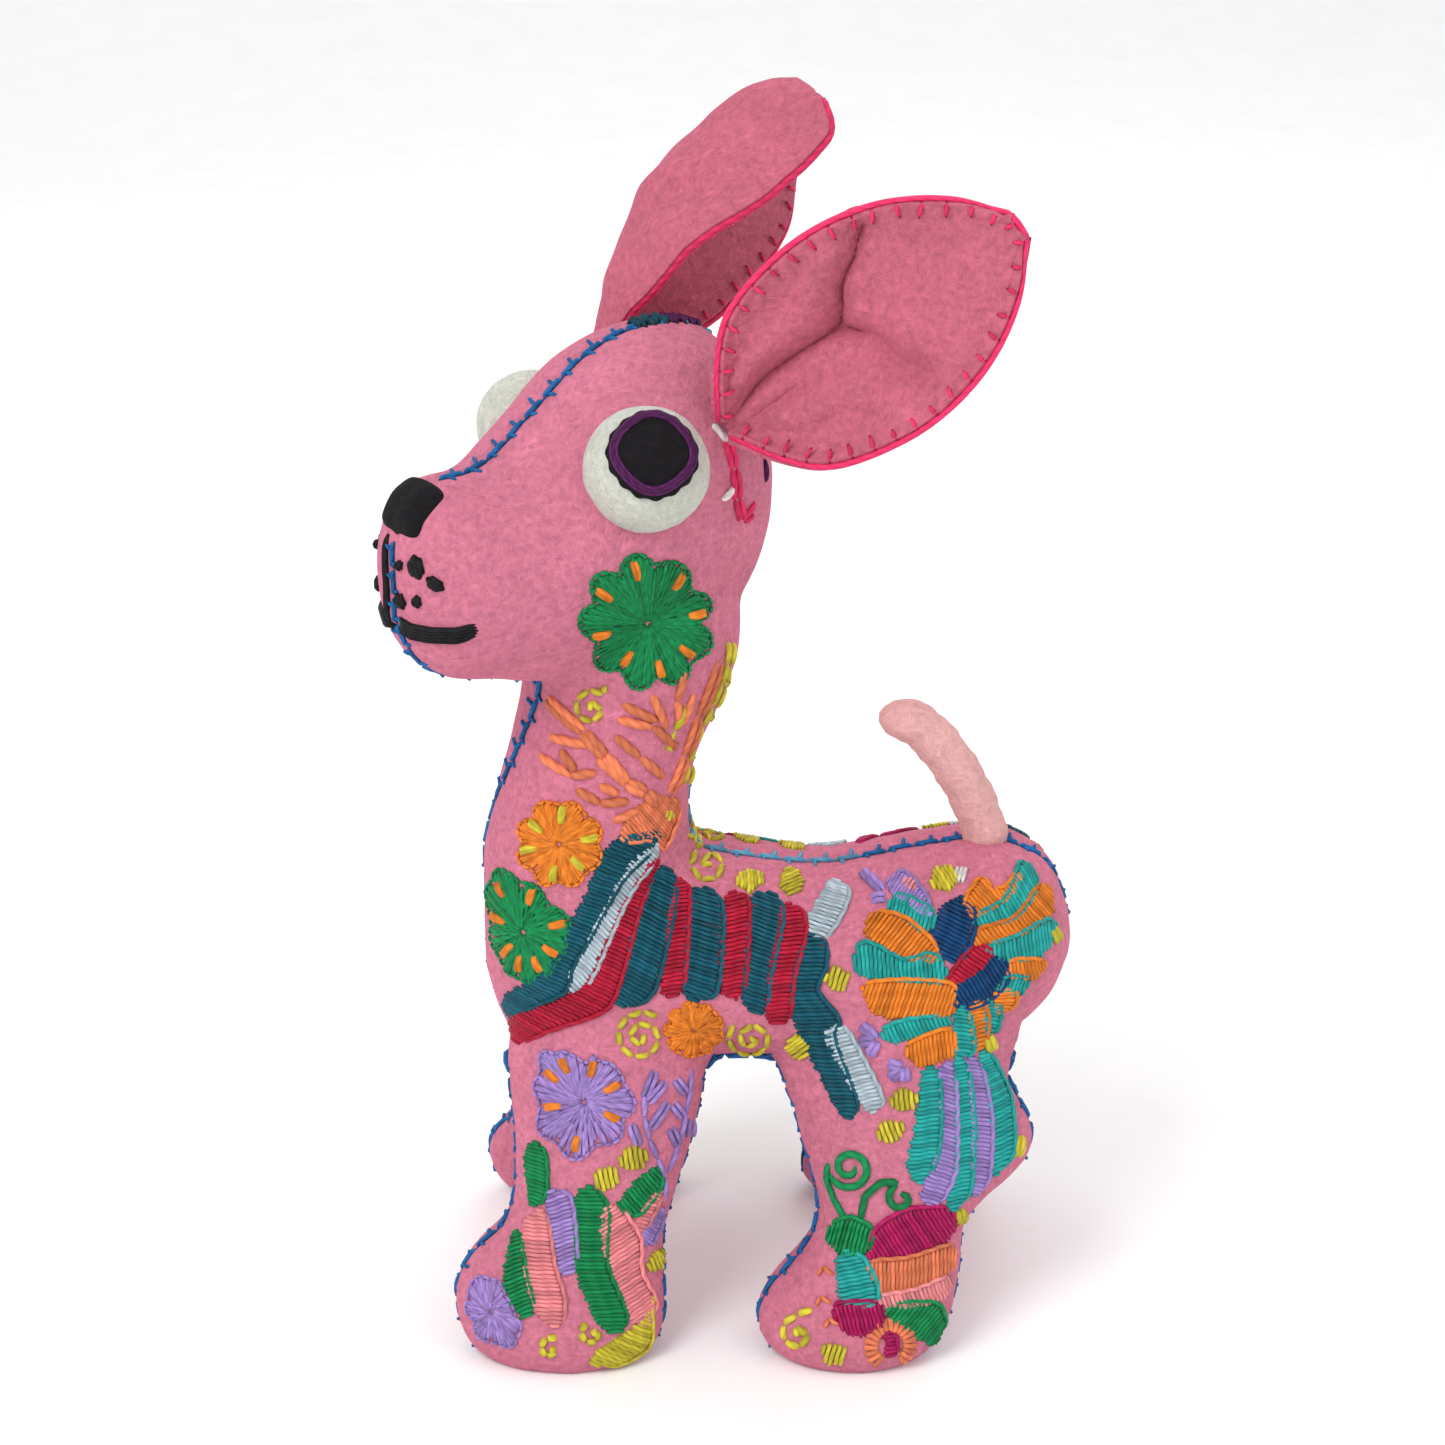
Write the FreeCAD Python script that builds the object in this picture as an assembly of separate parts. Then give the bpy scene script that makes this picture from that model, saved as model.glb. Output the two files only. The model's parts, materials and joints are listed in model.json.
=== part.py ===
"""A stuffed, hand-embroidered felt animal with large ears, standing on four splayed legs.

Frame: +Z up, nose towards -X, tail towards +X, the animal's left flank towards -Y.
The soles rest on z = 0. All sizes are millimetres.
"""
import FreeCAD
import Part
import math
import os

from FreeCAD import Vector

# ---------------------------------------------------------------- driving dimensions
FELT = 1.6                 # thickness of the body felt
EMBROIDERY = 0.8           # how far the satin stitching stands off the felt
SEAM_WIDTH = 2.4           # width of the blanket stitch along a seam
HIP_HALF = 17.0            # from the middle plane to a leg's middle plane, at the belly
SPLAY = 0.30               # how far a leg leans out for each millimetre down
BELLY_Z = 62.0             # height where the legs leave the belly
HEAD_YAW = 34.0            # the head is sewn turned towards the animal's left, degrees
NECK_X = -19.0             # the axis that the head is turned about
TWIST_LOW = 106.0          # the neck's seam starts to turn here
TWIST_HIGH = 138.0         # and has turned with the head here

EYE_RADIUS = 11.5          # felt ball eyes
EYE_Z = 181.5
EYES = {                   # forward of the neck's axis, out to the head's left, and where it looks
    "left": (8.5, 22.0, (0.82, 0.37, 0.43)),
    "right": (7.2, -20.6, (-0.97, -0.05, 0.22)),
}
PUPIL_RADIUS = 8.7
PUPIL_THICK = 1.0
RING_RADIUS = 7.4
RING_THICK = 0.9

EAR_FELT = 1.3             # each of an ear's two layers
EAR_THREAD = 1.2           # how far the edge stitching stands past the felt
TAIL_RADIUS = 4.4
TAIL_FELT = 1.2
TAIL_BASE = Vector(49.5, 0.0, 106.9)
TAIL_BEND = 52.0           # radius that the tail curves on
TAIL_LENGTH = 23.0
TAIL_LEAN = -22.0          # degrees that the tail's base leans back from upright

NOSE_REACH = 44.0          # the nose patch starts this far forward
NOSE_Z = 171.0
MOUTH_REACH = 39.8
MOUTH_LOW = 152.4
MOUTH_HIGH = 155.4
LIP_SIDE = (-3.0, -1.4)    # the lip line runs down just to the right of the seam
WHISKER_HALF = 0.9
WHISKERS = [(48.3, 167.0), (46.8, 167.0), (45.0, 164.0), (48.0, 160.5), (46.6, 161.0)]

GUSSET_TOP = 67.0          # the inner panels reach up to here under the belly
LEG_SEAM_TOP = 60.0        # the legs' seams run up to here
FLOOR_LOW = -10.0          # below the soles
FLOOR = 6.0                # the soles' height before the figure is moved into its frame
FRAME_SHIFT = Vector(-2.38, -7.38, -FLOOR)   # puts the origin under the middle of the whole figure
LEG_FILL_Z = 54.0          # the legs are packed up to here
LEG_GAP_X = 4.0            # between the front and the hind legs
HEAD_FILL_Z = 138.0

X = Vector(1, 0, 0)
Y = Vector(0, 1, 0)
Z = Vector(0, 0, 1)
OVAL_POINTS = 16           # points that an oval section is drawn through
OVAL_START = 0.7           # radians, which keeps the joints of the surfaces off the seams
TWIST_STEPS = 4
REACH = 300.0              # larger than the whole figure, for cutting blocks
BLOCK = 100.0              # larger than half of the figure's length

# ---------------------------------------------------------------- sections of the stuffed body
# torso: x, middle height, half height, half width
TORSO = [
    (-46.5, 84.0, 11.0, 8.0),
    (-42.0, 82.0, 21.0, 17.0),
    (-34.0, 80.0, 24.5, 23.5),
    (-20.0, 79.5, 23.0, 27.0),
    (0.0, 78.0, 20.5, 27.5),
    (20.0, 77.0, 19.2, 26.5),
    (40.0, 79.5, 20.5, 27.0),
    (54.0, 81.0, 20.0, 25.0),
    (63.5, 82.5, 14.0, 17.5),
    (68.0, 82.5, 5.5, 7.0),
]
# neck: z, middle x, half length, half width
NECK = [
    (80.0, -25.0, 20.5, 20.0),
    (98.0, -26.2, 20.8, 21.0),
    (110.0, -25.4, 19.0, 19.5),
    (120.0, -23.0, 18.5, 18.0),
    (130.0, -19.7, 19.4, 17.5),
    (140.0, -17.5, 20.5, 18.5),
    (152.0, -16.5, 20.0, 19.5),
]
# head: distance forward of the neck axis, middle height, half height, half width
HEAD = [
    (-28.5, 172.0, 10.0, 7.5),
    (-24.5, 172.0, 20.0, 14.5),
    (-17.0, 172.0, 29.0, 21.0),
    (-5.0, 171.8, 31.0, 24.0),
    (8.0, 168.8, 30.0, 23.5),
    (20.0, 163.4, 25.8, 21.0),
    (31.0, 160.5, 20.5, 17.5),
    (40.5, 161.0, 19.0, 14.5),
    (46.0, 161.8, 15.0, 11.0),
    (49.5, 161.5, 7.5, 5.5),
]
# legs: z, front x, rear x, half thickness
FRONT_LEG = [
    (6.0, -46.5, -15.5, 9.0),
    (9.5, -50.5, -11.8, 11.6),
    (14.5, -52.2, -10.8, 12.4),
    (20.0, -52.3, -10.8, 12.4),
    (26.0, -48.5, -11.0, 12.0),
    (31.0, -43.0, -10.6, 11.5),
    (38.0, -40.8, -8.4, 11.5),
    (48.0, -41.0, -5.4, 12.0),
    (58.0, -42.0, -3.0, 12.3),
    (68.0, -41.0, -3.0, 11.5),
    (76.0, -37.0, -8.0, 9.0),
]
HIND_LEG = [
    (6.0, 11.5, 38.5, 9.0),
    (9.5, 7.4, 42.6, 11.6),
    (14.5, 6.4, 45.2, 12.4),
    (20.0, 9.5, 46.2, 12.4),
    (26.0, 15.5, 46.8, 12.0),
    (31.0, 18.0, 47.4, 11.5),
    (36.0, 18.2, 51.5, 11.5),
    (42.0, 16.4, 58.5, 11.8),
    (47.0, 14.6, 61.0, 12.0),
    (52.0, 13.4, 59.5, 12.4),
    (59.0, 11.0, 56.0, 13.0),
    (68.0, 10.0, 58.0, 12.5),
    (76.0, 14.0, 56.0, 9.5),
]
FRONT_STEP = 2.5           # the right feet stand this much further back than the left ones
HIND_STEP = 10.0
STEP_LOW = 26.0            # all of it below this height, and none of it above the next
STEP_HIGH = 44.0

# ears: part of the length, part of the full width, how far the sheet curls round (degrees),
# how far its open side has turned about its length (degrees), and how far it bows out
EAR_WIDTH = 47.0
NEAR_EAR = [
    (0.00, 0.16, 220.0, 0.0, 0.0),
    (0.10, 0.50, 130.0, 0.0, 1.0),
    (0.22, 0.78, 100.0, 0.0, 2.0),
    (0.40, 0.91, 75.0, 0.0, 2.5),
    (0.58, 0.88, 60.0, 0.0, 2.0),
    (0.76, 0.74, 50.0, 0.0, 1.0),
    (0.91, 0.50, 45.0, 0.0, 0.5),
    (1.00, 0.20, 40.0, 0.0, 0.0),
]
FAR_EAR = [
    (0.00, 0.14, 220.0, 0.0, 0.0),
    (0.14, 0.36, 185.0, -12.0, 5.0),
    (0.30, 0.78, 170.0, -15.0, 11.0),
    (0.48, 1.02, 145.0, -12.0, 12.0),
    (0.66, 1.02, 120.0, -6.0, 10.0),
    (0.83, 0.86, 95.0, 0.0, 7.0),
    (0.94, 0.60, 70.0, 3.0, 3.5),
    (1.00, 0.26, 50.0, 5.0, 1.0),
]
EAR_ROOT_BACK = -9.0       # where the ears are sewn on, in the head's own directions
EAR_ROOT_Z = 187.0
LEFT_EAR_SIDE = 22.4
LEFT_EAR_TIP = Vector(50.8, -29.0, 226.3)
LEFT_EAR_OPEN = Vector(-0.15, -0.97, 0.15)
RIGHT_EAR_SIDE = -27.0
RIGHT_EAR_TIP = Vector(17.0, 43.0, 240.5)
RIGHT_EAR_OPEN = Vector(0.82, 0.18, -0.54)

# ---------------------------------------------------------------- embroidery on a flank, as x, z
CHEEK_FLOWER = (8.5, 152.5, 12.5)   # forward of the neck's axis, height, radius
FLOWERS = {
    "chest_orange_flower": (-30.8, 106.7, 8.0),
    "chest_green_flower": (-37.0, 88.5, 8.0),
    "belly_orange_flower": (-4.9, 71.5, 5.2),
    "leg_violet_flower": (-26.2, 60.5, 8.5),
}
MOTIFS = {
    "deer_embroidery": [
        [(-18, 110), (-11.5, 109), (-11.2, 101), (-35.3, 73.1), (-40.5, 75.2), (-20.4, 91)],
        [(-10, 103), (-17, 77.5), (15, 77.5), (15, 98)],
        [(16, 92), (16, 76), (26, 54), (30, 55), (21, 74), (20, 92)],
        [(-32, 137), (-28, 122), (-15, 112), (-8, 112), (-6, 122), (-1, 143), (-18, 128)],
    ],
    "bird_embroidery": [
        [(27, 96), (30, 70), (42, 66), (46, 88), (40, 98)],
        [(48, 88), (49, 71), (57, 80), (61, 92), (52, 106), (47, 96)],
        [(40, 64), (54, 64), (56, 38), (42, 38)],
    ],
    "butterfly_embroidery": [
        [(22, 35), (30, 39), (43, 36), (43, 14), (32, 9), (23, 16)],
    ],
    "leg_stripe_embroidery": [
        [(-37, 41), (-33, 41), (-33, 16), (-37, 16)],
        [(-28, 42), (-20, 40), (-13, 16), (-19, 12)],
    ],
}

RIGHT_LEG_MOTIF_STEP = {   # the right feet's embroidery stands as far back as they do
    "butterfly_embroidery": 8.0,
    "leg_stripe_embroidery": FRONT_STEP,
}


def forward():
    """The way the head faces."""
    yaw = math.radians(HEAD_YAW)
    return Vector(-math.cos(yaw), -math.sin(yaw), 0.0)


def head_left():
    """Out of the head's left side."""
    yaw = math.radians(HEAD_YAW)
    return Vector(math.sin(yaw), -math.cos(yaw), 0.0)


def oval(centre, first, second, half_first, half_second):
    """A closed oval section in the plane of two unit directions."""
    points = []
    for i in range(OVAL_POINTS):
        angle = OVAL_START + 2.0 * math.pi * i / OVAL_POINTS
        offset = first * (half_first * math.cos(angle)) + second * (half_second * math.sin(angle))
        points.append(centre + offset)
    curve = Part.BSplineCurve()
    curve.interpolate(points, PeriodicFlag=True)
    return Part.Wire([curve.toShape()])


def loft(wires):
    """A closed solid through a row of sections."""
    return Part.makeLoft(wires, True, False)


def shifted_ends(rows, inset):
    """The rows with the first and last station moved inwards by the inset."""
    moved = [list(row) for row in rows]
    moved[0][0] += inset
    moved[-1][0] -= inset
    return moved


def torso(inset):
    """The barrel of the body, along X."""
    wires = []
    for x, middle, half_height, half_width in shifted_ends(TORSO, inset):
        centre = Vector(x, 0, middle)
        wires.append(oval(centre, Y, Z, half_width - inset, half_height - inset))
    return loft(wires)


def neck(inset):
    """The neck, along Z, running into the torso and the head."""
    wires = []
    for z, middle, half_length, half_width in NECK:
        wires.append(oval(Vector(middle, 0, z), X, Y, half_length - inset, half_width - inset))
    return loft(wires)


def head(inset):
    """The head, along the way that it faces."""
    wires = []
    for reach, middle, half_height, half_width in shifted_ends(HEAD, inset):
        centre = Vector(NECK_X, 0, middle) + forward() * reach
        wires.append(oval(centre, head_left(), Z, half_width - inset, half_height - inset))
    return loft(wires)


def leg_middle(z):
    """How far out a leg's middle plane is at a height."""
    return HIP_HALF + SPLAY * max(0.0, BELLY_Z - z)


def leg(rows, side, inset):
    """One leg and foot, flat under the sole. side is -1 on the left."""
    wires = []
    for i, (z, front, rear, half_thick) in enumerate(rows):
        if i == 0:
            z = FLOOR + max(0.0, inset)
        step = 0.0
        if side > 0:
            full = HIND_STEP if rows is HIND_LEG else FRONT_STEP
            step = full * min(1.0, max(0.0, (STEP_HIGH - z) / (STEP_HIGH - STEP_LOW)))
        centre = Vector((front + rear) / 2 + step, side * leg_middle(z), z)
        wires.append(oval(centre, X, Y, (rear - front) / 2 - inset, half_thick - inset))
    return loft(wires)


def figure(inset):
    """The whole stuffed body with its surface moved inwards by the inset."""
    limbs = [neck(inset), head(inset)]
    for side in (-1, 1):
        limbs.append(leg(FRONT_LEG, side, inset))
        limbs.append(leg(HIND_LEG, side, inset))
    return torso(inset).fuse(limbs)


def turned_rectangle(z, yaw, inner, outer):
    """A level rectangle beside the split between left and right, turned with the neck."""
    angle = math.radians(yaw)
    along = Vector(-math.cos(angle), -math.sin(angle), 0)
    left = Vector(math.sin(angle), -math.cos(angle), 0)
    centre = Vector(NECK_X, 0, z)
    corners = [
        centre + along * REACH + left * inner,
        centre - along * REACH + left * inner,
        centre - along * REACH + left * outer,
        centre + along * REACH + left * outer,
    ]
    return Part.makePolygon(corners + corners[:1])


def split_block(inner, outer):
    """The space from one distance to another left of the split, which turns with the head."""
    levels = [(-REACH, 0.0), (TWIST_LOW, 0.0)]
    for i in range(1, TWIST_STEPS + 1):
        part = i / TWIST_STEPS
        levels.append((TWIST_LOW + part * (TWIST_HIGH - TWIST_LOW), part * HEAD_YAW))
    levels.append((REACH, HEAD_YAW))
    wires = [turned_rectangle(z, yaw, inner, outer) for z, yaw in levels]
    return Part.makeLoft(wires, True, True)


def flat_prism(corners_yz, low_x, high_x):
    """A block with an outline in Y and Z, running along X."""
    points = [Vector(low_x, y, z) for y, z in corners_yz]
    face = Part.Face(Part.makePolygon(points + points[:1]))
    return face.extrude(Vector(high_x - low_x, 0, 0))


def between_legs():
    """The space inside the legs' middle planes and under the belly."""
    foot = leg_middle(FLOOR_LOW)
    corners = [(-foot, FLOOR_LOW), (foot, FLOOR_LOW), (HIP_HALF, BELLY_Z),
               (HIP_HALF, GUSSET_TOP), (-HIP_HALF, GUSSET_TOP), (-HIP_HALF, BELLY_Z)]
    return flat_prism(corners, -BLOCK, BLOCK)


def leg_seam_block(side):
    """A thin slab along one side's leg middle planes, below the gusset."""
    half = SEAM_WIDTH / 2
    top = leg_middle(LEG_SEAM_TOP)
    foot = leg_middle(FLOOR_LOW)
    corners = [(side * (foot - half), FLOOR_LOW), (side * (foot + half), FLOOR_LOW),
               (side * (top + half), LEG_SEAM_TOP), (side * (top - half), LEG_SEAM_TOP)]
    return flat_prism(corners, -BLOCK, BLOCK)


def head_block(low_reach, high_reach, low_side, high_side, low_z, high_z):
    """A block in the head's own directions: forward, out to its left, and up."""
    size = (high_reach - low_reach, high_side - low_side, high_z - low_z)
    block = Part.makeBox(*size, Vector(low_reach, low_side, low_z))
    block.rotate(Vector(0, 0, 0), Z, 180.0 + HEAD_YAW)
    block.translate(Vector(NECK_X, 0, 0))
    return block


def head_point(reach, side, z):
    """A point given in the head's own directions."""
    return Vector(NECK_X, 0, z) + forward() * reach + head_left() * side


def felt_panels(body, core, left_block, gusset):
    """The four pieces of felt that are sewn into the body."""
    left = body.common(left_block)
    right = body.cut(left_block)
    return {
        "left_side_panel": left.cut(gusset).cut(core),
        "right_side_panel": right.cut(gusset).cut(core),
        "left_inner_panel": left.common(gusset).cut(core),
        "right_inner_panel": right.common(gusset).cut(core),
    }


def fillings(core):
    """The fibre, packed in by sections: head, body and each leg."""
    pieces = {}
    above = Part.makeBox(2 * REACH, 2 * REACH, REACH, Vector(-REACH, -REACH, HEAD_FILL_Z))
    below = Part.makeBox(2 * REACH, 2 * REACH, REACH, Vector(-REACH, -REACH, LEG_FILL_Z - REACH))
    pieces["head_filling"] = core.common(above)
    pieces["body_filling"] = core.cut(above).cut(below)
    legs = core.common(below)
    for name, low_x in (("front", -REACH), ("hind", LEG_GAP_X)):
        for side, label in ((-1, "left"), (1, "right")):
            length = LEG_GAP_X + REACH if name == "front" else REACH - LEG_GAP_X
            corner = Vector(low_x, 0.0 if side > 0 else -REACH, -REACH)
            quarter = Part.makeBox(length, REACH, 2 * REACH, corner)
            pieces[label + "_" + name + "_leg_filling"] = legs.common(quarter)
    return pieces


def seam_threads(grown, body, gusset, seam_block, face):
    """Blanket stitching: round the middle, and round each side's legs."""
    middle = grown.common(seam_block).cut(gusset).cut(body)
    for name in ("nose_patch", "mouth_stitch"):
        middle = middle.cut(face[name])
    return {
        "middle_seam_thread": middle,
        "left_leg_seam_thread": grown.common(leg_seam_block(-1)).cut(body),
        "right_leg_seam_thread": grown.common(leg_seam_block(1)).cut(body),
    }


def eyes(body):
    """Felt balls sewn to the head, each with a felt pupil edged in thread."""
    pieces = {}
    for label, (reach, side, gaze) in EYES.items():
        centre = head_point(reach, side, EYE_Z)
        look = head_left() * gaze[0] + forward() * gaze[1] + Z * gaze[2]
        pieces[label + "_eye_ball"] = Part.makeSphere(EYE_RADIUS, centre).cut(body)
        outer = EYE_RADIUS + PUPIL_THICK
        disc = Part.makeSphere(outer, centre).cut(Part.makeSphere(EYE_RADIUS, centre))
        pieces[label + "_pupil"] = disc.common(Part.makeCylinder(PUPIL_RADIUS, REACH, centre, look))
        ring = Part.makeSphere(outer + RING_THICK, centre).cut(Part.makeSphere(outer, centre))
        tube = Part.makeCylinder(RING_RADIUS + RING_THICK / 2, REACH, centre, look)
        tube = tube.cut(Part.makeCylinder(RING_RADIUS - RING_THICK / 2, REACH, centre, look))
        pieces[label + "_pupil_ring"] = ring.common(tube)
    return pieces


def face_details():
    """The nose patch and the black stitching of the muzzle."""
    layer = head(-EMBROIDERY).cut(head(0.0))
    whiskers = []
    for side in (-1, 1):
        for reach, z in WHISKERS:
            low = min(0, side * REACH)
            block = head_block(reach - WHISKER_HALF, reach + WHISKER_HALF, low, low + REACH,
                               z - WHISKER_HALF, z + WHISKER_HALF)
            whiskers.append(layer.common(block))
    nose = head_block(NOSE_REACH, REACH, -REACH, REACH, NOSE_Z, REACH)
    mouth = head_block(MOUTH_REACH, REACH, -REACH, REACH, MOUTH_LOW, MOUTH_HIGH)
    lip_line = head_block(MOUTH_REACH, REACH, *LIP_SIDE, MOUTH_HIGH, NOSE_Z)
    return {
        "nose_patch": layer.common(nose),
        "mouth_stitch": layer.common(mouth),
        "lip_line_stitch": layer.common(lip_line),
        "whisker_stitches": Part.makeCompound(whiskers),
    }


def ear_frame(base, tip, open_way):
    """An ear's directions: along it, across it, and towards its open side."""
    along = (tip - base).normalize()
    facing = (open_way - along * along.dot(open_way)).normalize()
    return along, along.cross(facing), facing


def ear_section(station, base, tip, open_way):
    """Where one section of an ear is: its arc's centre, radius, half angle and directions."""
    part, width, curl, turn, bow = station
    along, across, facing = ear_frame(base, tip, open_way)
    angle = math.radians(turn)
    turned_facing = facing * math.cos(angle) + across * math.sin(angle)
    turned_across = across * math.cos(angle) - facing * math.sin(angle)
    half = math.radians(curl) / 2
    radius = width * EAR_WIDTH / (2 * half)
    middle = base + along * (part * (tip - base).Length) - facing * bow
    centre = middle + turned_facing * radius
    return centre, radius, half, turned_across, turned_facing


def ear_band(shape, inner, outer, side=0):
    """A layer of an ear between two distances outside its middle surface.

    With no side it runs from edge to edge. With a side of -1 or 1 it is the stitching past
    that edge.
    """
    wires = []
    for station in shape[0]:
        centre, radius, half, across, facing = ear_section(station, *shape[1:])
        if side:
            first = side * half
            last = side * (half + EAR_THREAD / radius)
        else:
            first = -half
            last = half

        def spot(distance, angle):
            return centre + across * (distance * math.sin(angle)) - facing * (distance * math.cos(angle))

        near = radius + inner
        far = radius + outer
        middle = (first + last) / 2
        outside = Part.Arc(spot(far, first), spot(far, middle), spot(far, last)).toShape()
        end = Part.makeLine(spot(far, last), spot(near, last))
        inside = Part.Arc(spot(near, last), spot(near, middle), spot(near, first)).toShape()
        start = Part.makeLine(spot(near, first), spot(far, first))
        wires.append(Part.Wire([outside, end, inside, start]))
    return loft(wires)


def ears():
    """Two ears of two felt layers each, sewn together round the edge."""
    pieces = {}
    left_root = head_point(EAR_ROOT_BACK, LEFT_EAR_SIDE, EAR_ROOT_Z)
    right_root = head_point(EAR_ROOT_BACK, RIGHT_EAR_SIDE, EAR_ROOT_Z)
    left = (NEAR_EAR, left_root, LEFT_EAR_TIP, LEFT_EAR_OPEN)
    right = (FAR_EAR, right_root, RIGHT_EAR_TIP, RIGHT_EAR_OPEN)
    for label, shape in (("left", left), ("right", right)):
        back = ear_band(shape, 0.0, EAR_FELT)
        front = ear_band(shape, -EAR_FELT, 0.0)
        edges = [ear_band(shape, -EAR_FELT, EAR_FELT, side) for side in (-1, 1)]
        pieces[label + "_ear_back_layer"] = back
        pieces[label + "_ear_front_layer"] = front
        pieces[label + "_ear_edge_thread"] = Part.makeCompound(edges)
    return pieces


def tail_rod(radius):
    """The tail's curved rod with a round end, about its bend centre."""
    lean = math.radians(TAIL_LEAN)
    start_way = Vector(math.sin(lean), 0, math.cos(lean))
    to_centre = Vector(-math.cos(lean), 0, math.sin(lean))
    bend_centre = TAIL_BASE + to_centre * TAIL_BEND
    turn = math.degrees(TAIL_LENGTH / TAIL_BEND)
    face = Part.Face(Part.Wire([Part.makeCircle(radius, TAIL_BASE, start_way)]))
    rod = face.revolve(bend_centre, Vector(0, -1, 0), turn)
    tip = Part.Vertex(TAIL_BASE)
    tip.rotate(bend_centre, Vector(0, -1, 0), turn)
    ends = [Part.makeSphere(radius, TAIL_BASE), Part.makeSphere(radius, tip.Point)]
    return rod.fuse(ends)


def tail():
    """A felt tube filled with fibre."""
    filling = tail_rod(TAIL_RADIUS - TAIL_FELT)
    return {
        "tail_cover": tail_rod(TAIL_RADIUS).cut(filling),
        "tail_filling": filling,
    }


def flank_prism(outline, side, step):
    """A block with an outline in X and Z, moved back by a step, through one flank."""
    points = [Vector(x + step, 0, z) for x, z in outline]
    face = Part.Face(Part.makePolygon(points + points[:1]))
    return face.extrude(Vector(0, side * REACH, 0))


def embroidery(flank, body, side, label):
    """The motifs sewn on one flank, as thin pads on the felt."""
    pieces = {}
    for name, (x, z, radius) in FLOWERS.items():
        disc = Part.makeCylinder(radius, REACH, Vector(x, 0, z), Vector(0, side, 0))
        pieces[label + "_" + name] = flank.common(disc).cut(body)
    reach, z, radius = CHEEK_FLOWER
    cheek = Part.makeCylinder(radius, REACH, head_point(reach, 0, z), head_left() * -side)
    pieces[label + "_cheek_flower"] = flank.common(cheek).cut(body)
    for name, outlines in MOTIFS.items():
        step = RIGHT_LEG_MOTIF_STEP.get(name, 0.0) if side > 0 else 0.0
        patches = [flank.common(flank_prism(outline, side, step)).cut(body) for outline in outlines]
        pieces[label + "_" + name] = Part.makeCompound(patches)
    return pieces


def build():
    """Every piece of the figure, by name."""
    body = figure(0.0)
    core = figure(FELT)
    grown = figure(-EMBROIDERY)
    left_block = split_block(0.0, REACH)
    seam_block = split_block(-SEAM_WIDTH / 2, SEAM_WIDTH / 2)
    gusset = between_legs()
    face = face_details()
    pieces = felt_panels(body, core, left_block, gusset)
    pieces.update(fillings(core))
    pieces.update(seam_threads(grown, body, gusset, seam_block, face))
    pieces.update(eyes(body))
    pieces.update(face)
    pieces.update(ears())
    pieces.update(tail())
    for side, label in ((-1, "left"), (1, "right")):
        half = grown.common(left_block) if side < 0 else grown.cut(left_block)
        flank = half.cut([gusset, seam_block, leg_seam_block(side)])
        pieces.update(embroidery(flank, body, side, label))
    return pieces


os.makedirs("parts", exist_ok=True)
for piece_name, piece_shape in build().items():
    piece_shape.translate(FRAME_SHIFT)
    solids = piece_shape.Solids
    print(piece_name, len(solids), round(sum(s.Volume for s in solids), 1), piece_shape.isValid())
    if len(solids) == 1:
        solids[0].exportStep("parts/" + piece_name + ".step")
    else:
        Part.makeCompound(solids).exportStep("parts/" + piece_name + ".step")
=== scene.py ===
import json
import math
import random

import bpy
import numpy as np
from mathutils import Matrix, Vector, noise
from mathutils.bvhtree import BVHTree


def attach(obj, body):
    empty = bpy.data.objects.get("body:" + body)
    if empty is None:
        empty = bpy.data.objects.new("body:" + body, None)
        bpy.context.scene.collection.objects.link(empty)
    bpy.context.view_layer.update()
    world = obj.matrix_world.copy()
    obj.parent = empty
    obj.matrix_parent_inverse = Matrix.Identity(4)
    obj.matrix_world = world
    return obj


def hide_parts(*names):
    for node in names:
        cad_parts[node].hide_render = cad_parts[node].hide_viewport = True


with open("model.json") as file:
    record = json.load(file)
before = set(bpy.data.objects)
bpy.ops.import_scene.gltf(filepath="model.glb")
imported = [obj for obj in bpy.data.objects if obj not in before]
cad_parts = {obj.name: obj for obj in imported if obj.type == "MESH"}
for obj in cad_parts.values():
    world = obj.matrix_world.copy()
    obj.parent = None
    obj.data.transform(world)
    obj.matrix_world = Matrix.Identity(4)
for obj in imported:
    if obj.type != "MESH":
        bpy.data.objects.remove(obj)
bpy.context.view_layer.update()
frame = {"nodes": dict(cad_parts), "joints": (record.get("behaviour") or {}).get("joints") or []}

# The looks of a stuffed felt animal. Shapes are worked out in the CAD's own millimetres and
# moved into the frame by at(), which takes its origin from the tail's joint.
MM = 0.001
TAIL_BASE = np.array([49.5, 0.0, 106.9])
JOINTS = {joint["name"]: joint for joint in frame["joints"]}
ORIGIN = np.array(JOINTS["tail_bend"]["pos_m"]) - TAIL_BASE * MM

FLOOR = 6.0                # height of the soles
HEAD_YAW = 34.0            # the head is turned this far to the animal's left, degrees
NECK_X = -19.0
TWIST_LOW = 106.0          # the neck turns between these heights
TWIST_HIGH = 138.0
HIP_HALF = 17.0            # the legs' middle planes, and how they splay below the belly
SPLAY = 0.30
BELLY_Z = 62.0
LEG_SEAM_TOP = 60.0
GUSSET_TOP = 67.0
FELT = 1.6                 # thickness
FRONT_STEP = 2.5           # how far back the right feet stand, and where the legs lean to do so
HIND_STEP = 10.0
STEP_LOW = 26.0
STEP_HIGH = 44.0

RING = 40                  # points round each section of the body
VOXEL = 1.25               # fineness of the stuffed skin
NOSE_BACK = 40.9           # how far forward the nose patch begins, its half width and its lower edge
NOSE_HALF = 6.5
NOSE_LOW = 171.0
SPINE_LOW = 88.0           # the light blue part of the middle seam is above this, and between these
SPINE_FROM = -10.0
SPINE_TO = 24.0
STRAND = 0.92              # width of the embroidery strands
SPACING = 0.78             # between neighbouring satin stitches
LONGEST = 11.0             # a longer satin stitch is worked in two

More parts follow.
